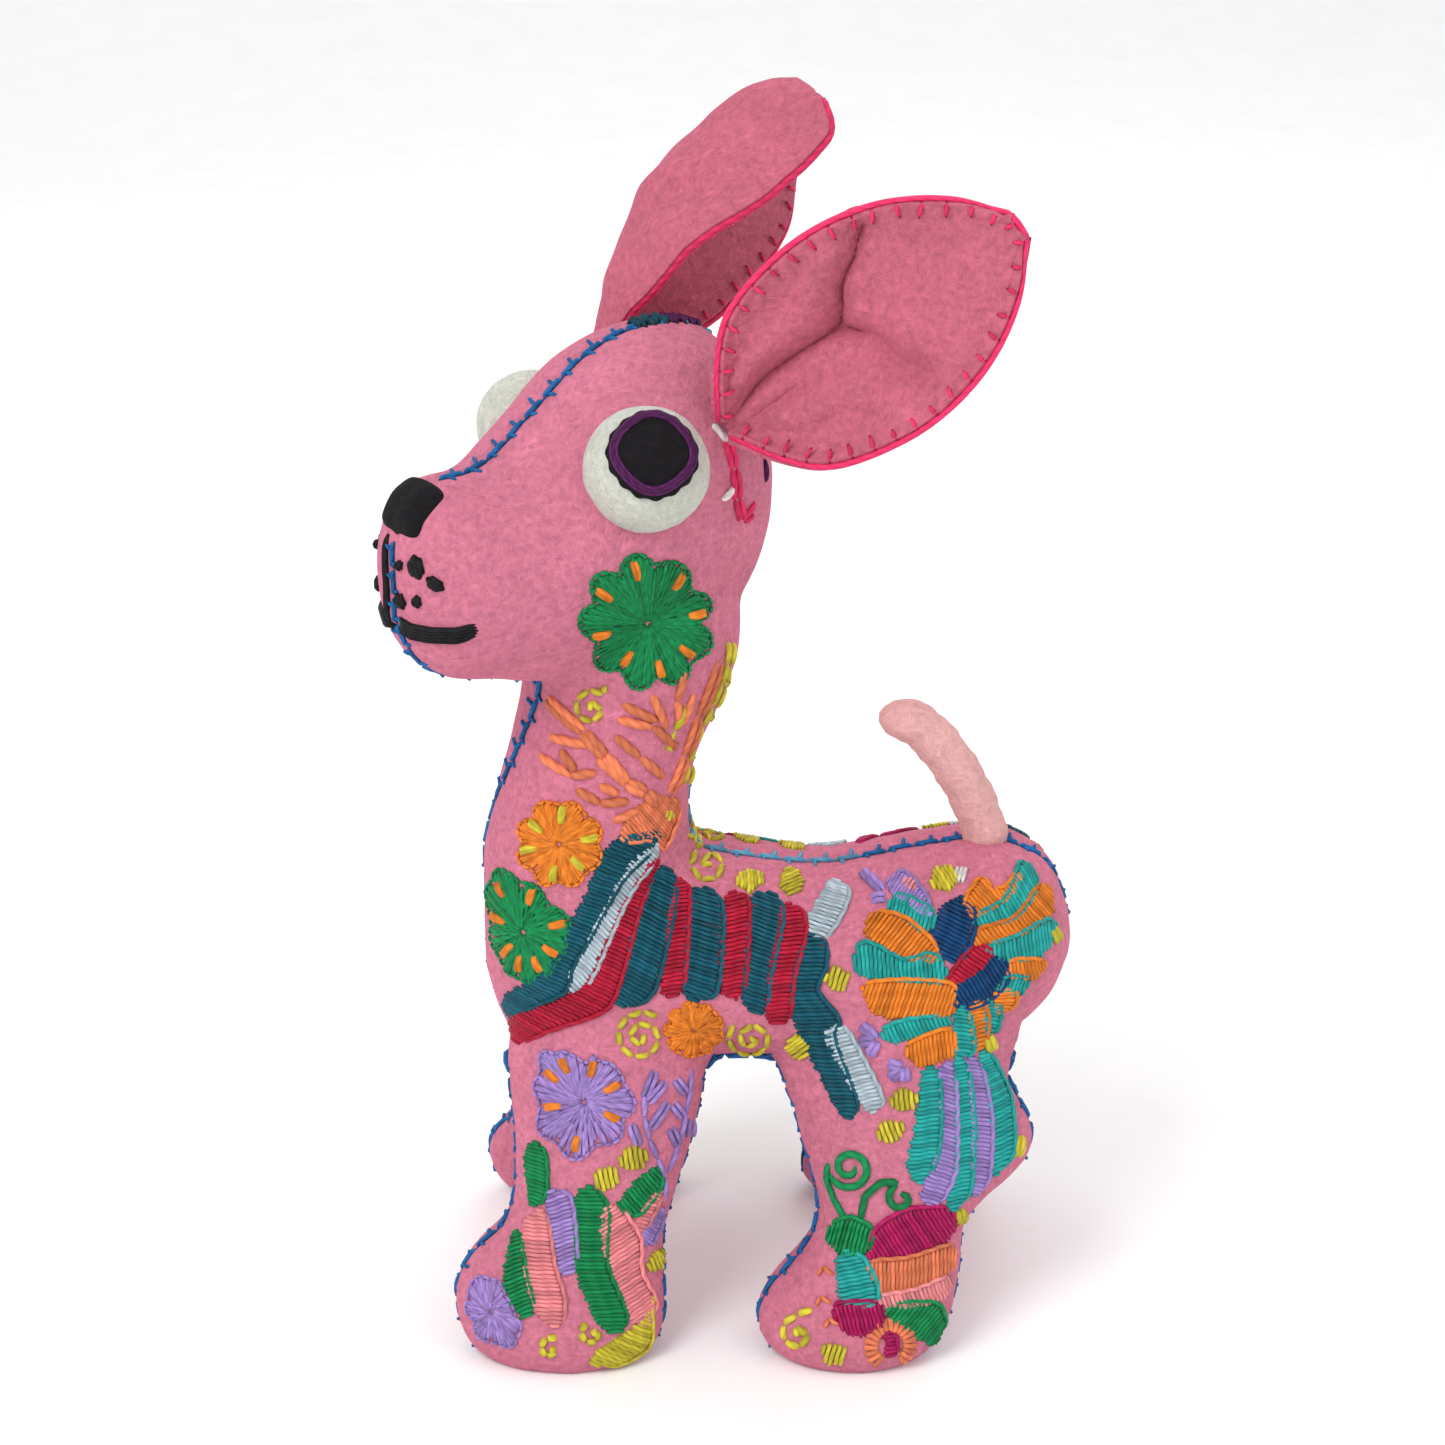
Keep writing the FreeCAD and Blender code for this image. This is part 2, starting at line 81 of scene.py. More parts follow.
# torso: x, middle height, half height, half width
TORSO = [
    (-46.5, 84.0, 11.0, 8.0), (-42.0, 82.0, 21.0, 17.0), (-34.0, 80.0, 24.5, 23.5),
    (-20.0, 79.5, 23.0, 27.0), (0.0, 78.0, 20.5, 27.5), (20.0, 77.0, 19.2, 26.5),
    (40.0, 79.5, 20.5, 27.0), (54.0, 81.0, 20.0, 25.0), (63.5, 82.5, 14.0, 17.5),
    (68.0, 82.5, 5.5, 7.0),
]
# neck: z, middle x, half length, half width
NECK = [
    (80.0, -25.0, 20.5, 20.0), (98.0, -26.2, 20.8, 21.0), (110.0, -25.4, 19.0, 19.5),
    (120.0, -23.0, 18.5, 18.0), (130.0, -19.7, 19.4, 17.5), (140.0, -17.5, 20.5, 18.5),
    (152.0, -16.5, 20.0, 19.5),
]
# head: distance forward of the neck's axis, middle height, half height, half width
HEAD = [
    (-28.5, 172.0, 10.0, 7.5), (-24.5, 172.0, 20.0, 14.5), (-17.0, 172.0, 29.0, 21.0),
    (-5.0, 171.8, 31.0, 24.0), (8.0, 168.8, 30.0, 23.5), (20.0, 163.4, 25.8, 21.0),
    (31.0, 160.5, 20.5, 17.5), (40.5, 161.0, 19.0, 14.5), (46.0, 161.8, 15.0, 11.0),
    (49.5, 161.5, 7.5, 5.5),
]
# legs: z, front x, rear x, half thickness
FRONT_LEG = [
    (6.0, -46.5, -15.5, 9.0), (9.5, -50.5, -11.8, 11.6), (14.5, -52.2, -10.8, 12.4),
    (20.0, -52.3, -10.8, 12.4), (26.0, -48.5, -11.0, 12.0), (31.0, -43.0, -10.6, 11.5),
    (38.0, -40.8, -8.4, 11.5), (48.0, -41.0, -5.4, 12.0), (58.0, -42.0, -3.0, 12.3),
    (68.0, -41.0, -3.0, 11.5), (76.0, -37.0, -8.0, 9.0),
]
HIND_LEG = [
    (6.0, 11.5, 38.5, 9.0), (9.5, 7.4, 42.6, 11.6), (14.5, 6.4, 45.2, 12.4),
    (20.0, 9.5, 46.2, 12.4), (26.0, 15.5, 46.8, 12.0), (31.0, 18.0, 47.4, 11.5),
    (36.0, 18.2, 51.5, 11.5), (42.0, 16.4, 58.5, 11.8), (47.0, 14.6, 61.0, 12.0),
    (52.0, 13.4, 59.5, 12.4), (59.0, 11.0, 56.0, 13.0), (68.0, 10.0, 58.0, 12.5),
    (76.0, 14.0, 56.0, 9.5),
]

rng = random.Random(7)


# ---------------------------------------------------------------- directions and meshes
def at(x, y, z):
    """A point given in the CAD's millimetres, in the frame."""
    return Vector(np.array([x, y, z]) * MM + ORIGIN)


YAW = math.radians(HEAD_YAW)
FORWARD = np.array([-math.cos(YAW), -math.sin(YAW), 0.0])
HEAD_LEFT = np.array([math.sin(YAW), -math.cos(YAW), 0.0])
UP = np.array([0.0, 0.0, 1.0])


def head_point(reach, side, z):
    """A point given forward of the neck's axis, out to the head's left, and up."""
    return np.array([NECK_X, 0.0, z]) + FORWARD * reach + HEAD_LEFT * side


def unit(v):
    return v / max(float(np.linalg.norm(v)), 1e-9)


def summed(steps):
    """The running total of some steps, from nothing."""
    return np.concatenate([[0], np.cumsum(steps)])


def distances(line):
    """How far along a line each of its points is."""
    return summed(np.linalg.norm(np.diff(line, axis=0), axis=1))


def between(stops, line, distance):
    """The place at a distance along a line."""
    return np.array([np.interp(distance, stops, column) for column in np.asarray(line).T])


def smooth_step(a, b, c, d, t):
    """A place from b to c on a smooth curve through four points."""
    return 0.5 * (2 * b + (c - a) * t + (2 * a - 5 * b + 4 * c - d) * t * t
                  + (3 * b - a - 3 * c + d) * t ** 3)


def new_object(name, points, faces, material, smooth=True):
    """A mesh object from points in the CAD's millimetres."""
    mesh = bpy.data.meshes.new(name)
    mesh.from_pydata((np.asarray(points) * MM + ORIGIN).tolist(), [], faces)
    mesh.update()
    obj = bpy.data.objects.new(name, mesh)
    bpy.context.scene.collection.objects.link(obj)
    if material:
        mesh.materials.append(material)
    if smooth:
        mesh.polygons.foreach_set("use_smooth", [True] * len(mesh.polygons))
    return obj


def points_of(mesh):
    """A mesh's vertices in the CAD's millimetres."""
    co = np.zeros(len(mesh.vertices) * 3)
    mesh.vertices.foreach_get("co", co)
    return (co.reshape(-1, 3) - ORIGIN) / MM


def normals_of(mesh):
    n = np.zeros(len(mesh.vertices) * 3)
    mesh.vertices.foreach_get("normal", n)
    return n.reshape(-1, 3)


def set_points(mesh, points):
    mesh.vertices.foreach_set("co", (points * MM + ORIGIN).ravel())
    mesh.update()


def apply_modifiers(obj):
    """Makes the modified shape the object's own mesh."""
    graph = bpy.context.evaluated_depsgraph_get()
    mesh = bpy.data.meshes.new_from_object(obj.evaluated_get(graph))
    old = obj.data
    obj.modifiers.clear()
    obj.data = mesh
    bpy.data.meshes.remove(old)
    mesh.polygons.foreach_set("use_smooth", [True] * len(mesh.polygons))
    return obj


def remesh(obj, voxel, smoothing):
    """One even skin round everything in the mesh, with its corners softened."""
    step = obj.modifiers.new("skin", "REMESH")
    step.mode = "VOXEL"
    step.voxel_size = voxel * MM
    step = obj.modifiers.new("soften", "SMOOTH")
    step.factor = 0.5
    step.iterations = smoothing
    return apply_modifiers(obj)


def spline(rows, steps):
    """Points on a smooth curve through the rows."""
    rows = np.asarray(rows, float)
    padded = np.vstack([2 * rows[0] - rows[1], rows, 2 * rows[-1] - rows[-2]])
    out = []
    for i in range(1, len(padded) - 2):
        a, b, c, d = padded[i - 1:i + 3]
        out.extend(smooth_step(a, b, c, d, k / steps) for k in range(steps))
    out.append(rows[-1])
    return np.array(out)


def loft(rings):
    """A closed skin through rings of the same number of points."""
    count = len(rings[0])
    points = [p for ring in rings for p in ring]
    faces = []
    for i in range(len(rings) - 1):
        for j in range(count):
            k = (j + 1) % count
            faces.append((i * count + j, i * count + k, (i + 1) * count + k, (i + 1) * count + j))
    faces.append(tuple(range(count - 1, -1, -1)))
    faces.append(tuple((len(rings) - 1) * count + j for j in range(count)))
    return points, faces


def oval(centre, first, second, half_first, half_second):
    angles = np.linspace(0, 2 * math.pi, RING, endpoint=False)[:, None]
    return centre + first * half_first * np.cos(angles) + second * half_second * np.sin(angles)


def joined(parts):
    """Several (points, faces) as one."""
    points, faces = [], []
    for more_points, more_faces in parts:
        start = len(points)
        points.extend(more_points)
        faces.extend(tuple(start + i for i in face) for face in more_faces)
    return points, faces


# ---------------------------------------------------------------- the stuffed body
def leg_middle(z):
    """How far out a leg's middle plane is at a height."""
    return HIP_HALF + SPLAY * max(0.0, BELLY_Z - z)


def foot_step(rows, side, z):
    """The right feet stand further back than the left ones."""
    if side < 0:
        return 0.0
    full = HIND_STEP if rows is HIND_LEG else FRONT_STEP
    return full * min(1.0, max(0.0, (STEP_HIGH - z) / (STEP_HIGH - STEP_LOW)))


def body_parts():
    """The barrel, neck, head and legs as overlapping closed skins."""
    x_axis = np.array([1.0, 0.0, 0.0])
    y_axis = np.array([0.0, 1.0, 0.0])
    rings = [oval(np.array([x, 0, m]), UP, y_axis, h, w) for x, m, h, w in spline(TORSO, 4)]
    parts = [loft(rings)]
    rings = [oval(np.array([m, 0, z]), x_axis, y_axis, a, b) for z, m, a, b in spline(NECK, 4)]
    parts.append(loft(rings))
    rings = [oval(head_point(r, 0, m), HEAD_LEFT, UP, w, h) for r, m, h, w in spline(HEAD, 4)]
    parts.append(loft(rings))
    for side in (-1, 1):
        for rows in (FRONT_LEG, HIND_LEG):
            rings = []
            for z, low, high, half in spline(rows, 4):
                x = (low + high) / 2 + foot_step(rows, side, z)
                centre = np.array([x, side * leg_middle(z), z])
                rings.append(oval(centre, x_axis, y_axis, (high - low) / 2, half))
            parts.append(loft(rings))
    return parts


def neck_turn(z):
    """How far the neck has turned at a height, as an angle."""
    return YAW * np.clip((z - TWIST_LOW) / (TWIST_HIGH - TWIST_LOW), 0.0, 1.0)


def left_of_middle(p):
    """How far points are to the left of the seam that runs round the middle."""
    turn = neck_turn(p[:, 2])
    return (p[:, 0] - NECK_X) * np.sin(turn) - p[:, 1] * np.cos(turn)


def outside_leg_middle(p, side):
    """How far points are outside one side's leg middle planes."""
    return side * p[:, 1] - (HIP_HALF + SPLAY * np.maximum(0.0, BELLY_Z - p[:, 2]))


def in_gusset(p):
    """Whether points are on the inner panels, between the legs."""
    inside = (outside_leg_middle(p, -1) < 0) & (outside_leg_middle(p, 1) < 0)
    return inside & (p[:, 2] < GUSSET_TOP)


def noise_at(points, scale, seed):
    """Smooth noise from -1 to 1 at each point, with features about scale millimetres wide."""
    shift = Vector((seed * 13.7, seed * 5.1, seed * 9.3))
    return np.array([noise.noise(Vector(p / scale) + shift) for p in points])


def make_body(material):
    """The skin, puckered along its seams and a little lumpy with its filling."""
    obj = new_object("felt_body_skin", *joined(body_parts()), material)
    remesh(obj, VOXEL, 7)
    mesh = obj.data
    points = points_of(mesh)
    normals = normals_of(mesh)
    middle = np.where(in_gusset(points), 99.0, np.abs(left_of_middle(points)))
    legs = np.minimum(np.abs(outside_leg_middle(points, -1)), np.abs(outside_leg_middle(points, 1)))
    legs = np.where(points[:, 2] < LEG_SEAM_TOP, legs, 99.0)
    seam = np.minimum(middle, legs)
    pucker = 0.5 + 0.5 * noise_at(points, 4.0, 1)
    groove = 0.75 * np.exp(-(seam / 1.3) ** 2) + 0.35 * pucker * np.exp(-(seam / 4.0) ** 2)
    lumps = 0.32 * noise_at(points, 13.0, 2) + 0.14 * noise_at(points, 5.0, 3)
    moved = points + normals * (lumps - groove)[:, None]
    moved[:, 2] = np.maximum(moved[:, 2], FLOOR)
    set_points(mesh, moved)
    return obj


def surface_tree(mesh):
    """A search tree of a mesh, in the CAD's millimetres."""
    points = points_of(mesh)
    return BVHTree.FromPolygons(points.tolist(), [tuple(p.vertices) for p in mesh.polygons])


def make_filling(body, material):
    """The fibre inside the skin."""
    filling = body.copy()
    filling.data = body.data.copy()
    filling.name = "fibre_filling_mass"
    filling.data.materials.clear()
    filling.data.materials.append(material)
    bpy.context.scene.collection.objects.link(filling)
    thin = filling.modifiers.new("inside", "DISPLACE")
    thin.strength = -2.2 * FELT * MM
    thin.mid_level = 0.0
    remesh(filling, 3.0, 2)
    return filling


# ---------------------------------------------------------------- threads
class Threads:
    """Many strands of one colour, gathered into one mesh."""

    def __init__(self, sides=5):
        self.sides = sides
        self.points = []
        self.faces = []
        self.uvs = []
        self.tones = []
        # brightness left at each point by the painted shade at the strand's ends
        self.depths = []

    def lay(self, placed, *shape, **manner):
        """A strand along points on a surface, given with the outward direction at each."""
        self.add([p for p, _ in placed], [n for _, n in placed], *shape, **manner)

    def add(self, line, outward, width, height, lift=0.1, tuck=0.4, taper=0.45, end_shade=1.0,
            plump=False):
        """A strand along a line of points, whose ends go down into the cloth.

        The ends are darkened with painted shade where they go down into the cloth, as strongly as
        asked, and a plump strand swells towards its middle.
        """
        line = np.asarray(line, float)
        outward = np.asarray(outward, float)
        count = len(line)
        along = np.gradient(line, axis=0)
        along /= np.linalg.norm(along, axis=1)[:, None] + 1e-9
        across = np.cross(along, outward)
        across /= np.linalg.norm(across, axis=1)[:, None] + 1e-9
        step = distances(line)
        share = step / max(step[-1], 1e-6)
        rise = np.minimum(1.0, np.sin(math.pi * np.clip(share, 0.0, 1.0)) * 2.4)
        if plump:
            rise = np.sin(math.pi * np.clip(share, 0.0, 1.0)) ** 0.6
        centre = line + outward * (-tuck + (tuck + lift) * rise)[:, None]
        size = taper + (1 - taper) * np.minimum(1.0, rise * 1.3)
        angles = np.linspace(0, 2 * math.pi, self.sides, endpoint=False)
        wide = across * (0.5 * width * size)[:, None]
        high = outward * (0.5 * height * size)[:, None]
        rings = (centre[:, None, :] + wide[:, None, :] * np.cos(angles)[None, :, None]
                 + high[:, None, :] * np.sin(angles)[None, :, None])
        start = len(self.points)
        self.points.extend(rings.reshape(-1, 3))
        self.tones.extend([rng.random()] * (count * self.sides))
        # painted shade: darker towards the ends, where the strand goes down into the cloth
        self.depths.extend(np.repeat(1 - end_shade * (1 - rise), self.sides))
        for k in range(count - 1):
            for j in range(self.sides):
                i = (j + 1) % self.sides
                low = start + k * self.sides
                high_ring = low + self.sides
                self.faces.append((low + j, low + i, high_ring + i, high_ring + j))
                left, right = j / self.sides, (j + 1) / self.sides
                self.uvs.extend([(step[k], left), (step[k], right),
                                 (step[k + 1], right), (step[k + 1], left)])
        last = start + (count - 1) * self.sides
        self.faces.append(tuple(start + j for j in range(self.sides - 1, -1, -1)))
        self.faces.append(tuple(last + j for j in range(self.sides)))
        self.uvs.extend([(0.0, 0.5)] * self.sides + [(step[-1], 0.5)] * self.sides)

    def build(self, name, material):
        obj = new_object(name, self.points, self.faces, material)
        layer = obj.data.uv_layers.new(name="twist")
        layer.data.foreach_set("uv", np.array(self.uvs, np.float32).ravel())
        # the depth attribute carries the painted shade at the strand's ends
        for title, values in (("tone", self.tones), ("depth", self.depths)):
            attribute = obj.data.attributes.new(title, "FLOAT", "POINT")
            attribute.data.foreach_set("value", np.array(values, np.float32))
        return obj


class Cloth:
    """A surface to sew on, drawn on a flat plane that is looked at along one direction."""

    def __init__(self, tree, origin, first, second, inward, out):
        self.tree = tree
        self.origin = origin
        self.first = first
        self.second = second
        self.inward = inward
        self.out = out

    def place(self, a, b):
        """The surface point and outward direction under a place in the drawing."""
        start = self.origin + self.first * a + self.second * b - self.inward * 120.0
        hit = self.tree.ray_cast(Vector(start), Vector(self.inward))
        if hit[0] is None or (np.array(hit[0]) - self.origin) @ self.out < -6.0:
            depth = (20.0 - (start - self.origin) @ self.out) / (self.inward @ self.out)
            hit = self.tree.find_nearest(Vector(start + self.inward * depth))
        return np.array(hit[0]), np.array(hit[1])

    def drawn(self, point):
        """Where a point in space is in the drawing."""
        offset = point - self.origin
        return float(offset @ self.first), float(offset @ self.second)

    def strand(self, threads, ends, width=STRAND, height=0.85, lift=0.12, plump=False, end_shade=1.0):
        """A stitch between two places in the drawing, lying on the surface."""
        a, b = (np.asarray(e, float) for e in ends)
        steps = max(6 if plump else 4, min(7, int(np.linalg.norm(b - a) / 1.4) + 3))
        placed = [self.place(*(a + (b - a) * k / steps)) for k in range(steps + 1)]
        taper = 0.15 if plump else 0.45
        threads.lay(placed, width, height, lift, taper=taper, plump=plump, end_shade=end_shade)

    def rope(self, threads, path, width, height=0.9, lift=0.3, step=0.8):
        """One long thread laid along a path in the drawing."""
        path = np.array(path)
        stops = distances(path)
        count = max(4, round(stops[-1] / step))
        placed = [self.place(*between(stops, path, s)) for s in np.linspace(0, stops[-1], count + 1)]
        threads.lay(placed, width, height, lift, taper=0.6, end_shade=0.3)


def crossings(outline, level):
    """Where a level line cuts an outline, as sorted pairs."""
    cuts = []
    for (a0, b0), (a1, b1) in zip(outline, outline[1:] + outline[:1]):
        if (b0 <= level) != (b1 <= level):
            cuts.append(a0 + (level - b0) / (b1 - b0) * (a1 - a0))
    cuts.sort()
    return list(zip(cuts[::2], cuts[1::2]))


def rounded(outline, steps=4):
    """A smooth closed outline through an outline's points."""
    points = [np.array(p, float) for p in outline]
    out = []
    count = len(points)
    for i in range(count):
        a, b, c, d = (points[(i + k - 1) % count] for k in range(4))
        out.extend(tuple(smooth_step(a, b, c, d, k / steps)) for k in range(steps))
    return out


def softened(outline):
    """An outline with its corners cut off."""
    points = [np.array(p, float) for p in outline]
    for share in (0.17, 0.25):
        cut = []
        for a, b in zip(points, points[1:] + points[:1]):
            cut.append(a + (b - a) * share)
            cut.append(b - (b - a) * share)
        points = cut
    return points


def grown(points, amount):
    """An outline moved outward by an amount."""
    area = sum(a[0] * b[1] - b[0] * a[1] for a, b in zip(points, points[1:] + points[:1]))
    way = 1.0 if area > 0 else -1.0
    out = []
    count = len(points)
    for k in range(count):
        run = unit(points[(k + 1) % count] - points[k - 1])
        out.append(points[k] + np.array([run[1], -run[0]]) * amount * way)
    return out


def satin(cloth, threads, outline, slant=14.0, spacing=SPACING, lift=0.12, grow=0.5, ridge=True):
    """Fills an outline with stitches laid across its long axis, looped along one edge."""
    outline = grown(softened(outline), grow)
    points = np.array(outline)
    centre = points.mean(axis=0)
    vectors = np.linalg.eigh(np.cov((points - centre).T))[1]
    angle = math.atan2(vectors[1, 0], vectors[0, 0]) + math.radians(slant)
    turn = np.array([[math.cos(angle), math.sin(angle)], [-math.sin(angle), math.cos(angle)]])
    local = [tuple(turn @ (np.array(p) - centre)) for p in outline]
    low = min(p[1] for p in local)
    high = max(p[1] for p in local)
    level = low + 0.3 * spacing
    loops = [[]]
    while level < high - 0.1:
        step = spacing
        for start, end in crossings(local, level):
            length = end - start
            if length < 0.6:
                continue
            middle = turn.T @ np.array([(start + end) / 2, level]) + centre
            outward = cloth.place(*middle)[1]
            squint = min(1.0, max(0.5, -float(outward @ cloth.inward) * 1.15))
            step = min(step, spacing * squint)
            parts = max(1, math.ceil(length / LONGEST))
            cuts = [start + (0.2 if ridge else rng.uniform(-0.4, 0.2))]
            for k in range(1, parts):
                cuts.append(start + length * (k + rng.uniform(-0.18, 0.18)) / parts)
            cuts.append(end + rng.uniform(-0.25, 0.45))
            for a, b in zip([c - 0.4 for c in cuts[:-1]], [c + 0.4 for c in cuts[1:]]):
                skew = rng.uniform(-0.12, 0.12)
                ends = [turn.T @ np.array([a, level - skew]) + centre,
                        turn.T @ np.array([b, level + skew]) + centre]
                cloth.strand(threads, ends, lift=lift + rng.uniform(0, 0.16))
            edge = turn.T @ np.array([start + 0.1 * math.sin(level * 2.3), level]) + centre
            if loops[-1] and math.dist(loops[-1][-1], edge) > 2.6:
                loops.append([])
            loops[-1].append(edge)
        level += step
    for run in loops:
        if ridge and len(run) > 3:
            cloth.rope(threads, run, 1.0)


def edge_chain(cloth, threads, outline, length=1.9, width=0.9):
    """Short stitches end to end round an outline."""
    closed = [np.array(p) for p in outline]
    closed.append(closed[0])
    stops = distances(closed)
    total = stops[-1]
    count = max(4, round(total / length))
    for k in range(count):
        ends = [between(stops, closed, s % total)
                for s in (total * k / count, total * (k + 1.12) / count)]
        cloth.strand(threads, ends, width=width, height=0.85, lift=0.22, end_shade=0.5)


def scalloped(outline, lobes, depth):
    """An outline gathered in between lobes round its middle."""
    ring = np.array(rounded(outline, 14))
    centre = ring.mean(axis=0)
    out = []
    depths = [depth * rng.uniform(0.5, 1.4) for _ in range(lobes)]
    for k, p in enumerate(ring):
        place = lobes * k / len(ring)
        dent = depths[int(place) % lobes] * (1 - abs(math.sin(math.pi * place)) ** 0.7)
        out.append(centre + (p - centre) * (1.05 - dent))
    return out


def flower(cloth, petals, knots, centre, outline, lobes, knot_count, knot_place=0.7,
           depth=0.26):
    """Stitches from a pinched middle to a scalloped edge, with short knots of another colour."""
    centre = np.array(centre, float)
    ring = np.array(scalloped(outline, lobes, depth))
    around = np.sum(np.linalg.norm(np.diff(ring, axis=0), axis=1))
    count = int(around / 0.8)
    for k in range(count):
        edge = ring[int(k * len(ring) / count)]
        inner = (0.0, 0.38, 0.12, 0.45)[k % 4]
        skew = np.array([rng.uniform(-0.25, 0.25), rng.uniform(-0.25, 0.25)])
        cloth.strand(petals, [centre + (edge - centre) * inner + skew * 0.6, edge + skew * 0.4],
                     width=rng.uniform(0.8, 1.1), lift=0.15 + 0.15 * rng.random())
    edge_chain(cloth, petals, [centre + (p - centre) * 0.99 for p in ring[::3]], 1.7, 0.75)
    reach = float(np.mean(np.linalg.norm(ring - centre, axis=1)))
    for k in range(knot_count):
        spot = ring[int((k + 0.3 + rng.uniform(-0.12, 0.12)) * len(ring) / knot_count) % len(ring)]
        way = unit(spot - centre)
        side = np.array([-way[1], way[0]])
        middle = centre + way * float(np.linalg.norm(spot - centre)) * knot_place
        half = min(2.2, 0.2 * reach + 0.6)
        for shift in (-0.35, 0.35):
            ends = [middle - way * half + side * shift * 0.3, middle + way * half + side * shift]
            cloth.strand(knots, ends, width=1.15, height=1.2, lift=0.75, plump=True, end_shade=0.6)


def round_outline(centre, radius, count=16):
    """A round outline about a centre."""
    return [(centre[0] + radius * math.cos(2 * math.pi * k / count),
             centre[1] + radius * math.sin(2 * math.pi * k / count)) for k in range(count)]


def spiral(cloth, threads, centre, radius, turns, start, tail=None, width=1.3, length=3.3,
           whole=False):
    """Back stitches along a spiral, with an optional tail leading in to it."""
    centre = np.array(centre, float)
    path = []
    for k in range(121):
        t = k / 120
        angle = start + 2 * math.pi * turns * t
        path.append(centre + radius * (1 - 0.84 * t) * np.array([math.cos(angle), math.sin(angle)]))
    if tail is not None:
        tail = np.array(tail, float)
        path = [tail + (path[0] - tail) * k / 12 for k in range(12)] + path
    if whole:
        cloth.rope(threads, path, width, 1.2, 0.35)
        return
    stops = distances(path)
    count = max(5, round(stops[-1] / length))
    spots = [between(stops, path, s) for s in np.linspace(0, stops[-1], count + 1)]
    for a, b in zip(spots[:-1], spots[1:]):
        cloth.strand(threads, [a, b], width=width, height=1.1, lift=0.35, plump=True, end_shade=0.6)


def blob(cloth, threads, centre, radius=2.3):
    """A small ragged pad of a few stitches."""
    turn = rng.uniform(0, 3)
    outline = []
    for k in range(4):
        angle = turn + math.pi / 2 * k
        size = radius * rng.uniform(1.0, 1.4)
        outline.append((centre[0] + size * math.cos(angle),
                        centre[1] + size * 0.9 * math.sin(angle)))
    satin(cloth, threads, outline, slant=rng.uniform(-15, 15), spacing=0.95, lift=0.3, grow=0.3,
          ridge=False)


def path_stitches(cloth, threads, path, width=1.25, double=False):
    """Straight stitches end to end along a path."""
    path = [np.array(p, float) for p in path]
    for a, b in zip(path[:-1], path[1:]):
        side = unit(np.array([-(b - a)[1], (b - a)[0]])) * 0.5
        for offset in ((-1, 1) if double else (0,)):
            ends = [a + side * offset - (b - a) * 0.06, b + side * offset + (b - a) * 0.12]
            cloth.strand(threads, ends, width=width, height=1.15, lift=0.35, plump=True, end_shade=0.45)


# ---------------------------------------------------------------- the drawings
# Every place is x, z on the left flank. These are outlines to fill with satin stitch.
DEER = [
    ("salmon", [(-19.5, 107.5), (-18, 111.5), (-15, 114), (-11.5, 114), (-8, 111), (-6, 104),
                (-12, 106.5)]),
    ("dark_teal", [(-22, 107.5), (-12, 108), (-12, 105.5), (-19.5, 100.5), (-25, 90), (-29, 84),
                   (-29.5, 79.5), (-38, 73.5), (-41, 69), (-43, 71.5), (-39, 77.5), (-33, 83),
                   (-25, 98)]),
    ("pale_blue", [(-12, 105), (-15.5, 104.5), (-19, 100.5), (-25, 89.5), (-29, 83), (-28.5, 79),
                   (-25, 82), (-17.5, 98.5), (-13.5, 102)]),
    ("crimson", [(-12, 102), (-15, 101.5), (-22.5, 88.5), (-24.5, 83), (-29, 78), (-37, 73.5),
                 (-41.5, 68.5), (-40, 66), (-34, 71), (-21.5, 76), (-18.5, 86), (-15.5, 96)]),
    ("dark_teal", [(-12, 100.5), (-9, 98), (-9.5, 93), (-13, 80), (-17, 77), (-20.5, 77), (-18.5, 86),
                   (-15, 96.5)]),
    ("crimson", [(-9, 97.5), (-6.5, 96.5), (-7.5, 79.5), (-11.5, 79.5), (-10.5, 88)]),
    ("dark_teal", [(-6.5, 96), (-1.5, 95.5), (0, 92.5), (-1, 80), (-4.5, 78.5), (-7.5, 79.5)]),
    ("crimson", [(0.5, 95), (5, 94.5), (4, 79), (-0.5, 79.5)]),
    ("dark_teal", [(5.5, 94.5), (10.5, 94), (11.5, 91.5), (8.5, 82), (8, 74.5), (3.5, 78.5),
                   (4.5, 87)]),
    ("crimson", [(11.5, 93), (14.5, 92.5), (16, 90), (13, 82), (12.5, 73), (8.5, 73.5), (8.5, 82)]),
    ("dark_teal", [(16.5, 89), (19.5, 88), (19.5, 84), (17, 80), (22.5, 73.5), (20.5, 71), (26, 57.5),
                   (24, 54), (18.5, 63.5), (12.5, 76), (13.5, 84)]),
    ("pale_blue", [(21.5, 95.2), (24.5, 94.4), (22, 91), (19, 88.3), (16, 90), (18.5, 93.3)]),
    ("pale_blue", [(19.5, 71), (23, 73), (31, 58.5), (28, 56.5), (22.5, 65)]),
]
# paths of straight stitches
ANTLERS = [
    [(-12, 112.5), (-14.5, 116), (-18, 118.5), (-22, 124), (-26, 128.5), (-33, 133.5)],
    [(-18, 118.5), (-23.5, 123.5)], [(-23.5, 121), (-28.5, 120), (-34.5, 122.5)],
    [(-27.5, 121), (-30.5, 124.5)], [(-25, 126), (-32.5, 126.5)],
    [(-11, 118), (-15.5, 123.5), (-20, 128)], [(-8.5, 123.5), (-13, 129.5), (-19.5, 131.5)],
    [(-10.5, 128.5), (-13, 136)], [(-12, 130.5), (-18.5, 134.5)],
    [(-10, 114), (-7, 121), (-4.5, 129), (-0.5, 140)], [(-7.5, 128.5), (-5.5, 135)],
    [(-8, 129), (-8.5, 134), (-7, 141)], [(-17.5, 115), (-23, 115), (-27.5, 117.5)],
    [(-19.5, 116.5), (-23, 118.5)], [(-15.5, 113), (-20.5, 111.5)],
]
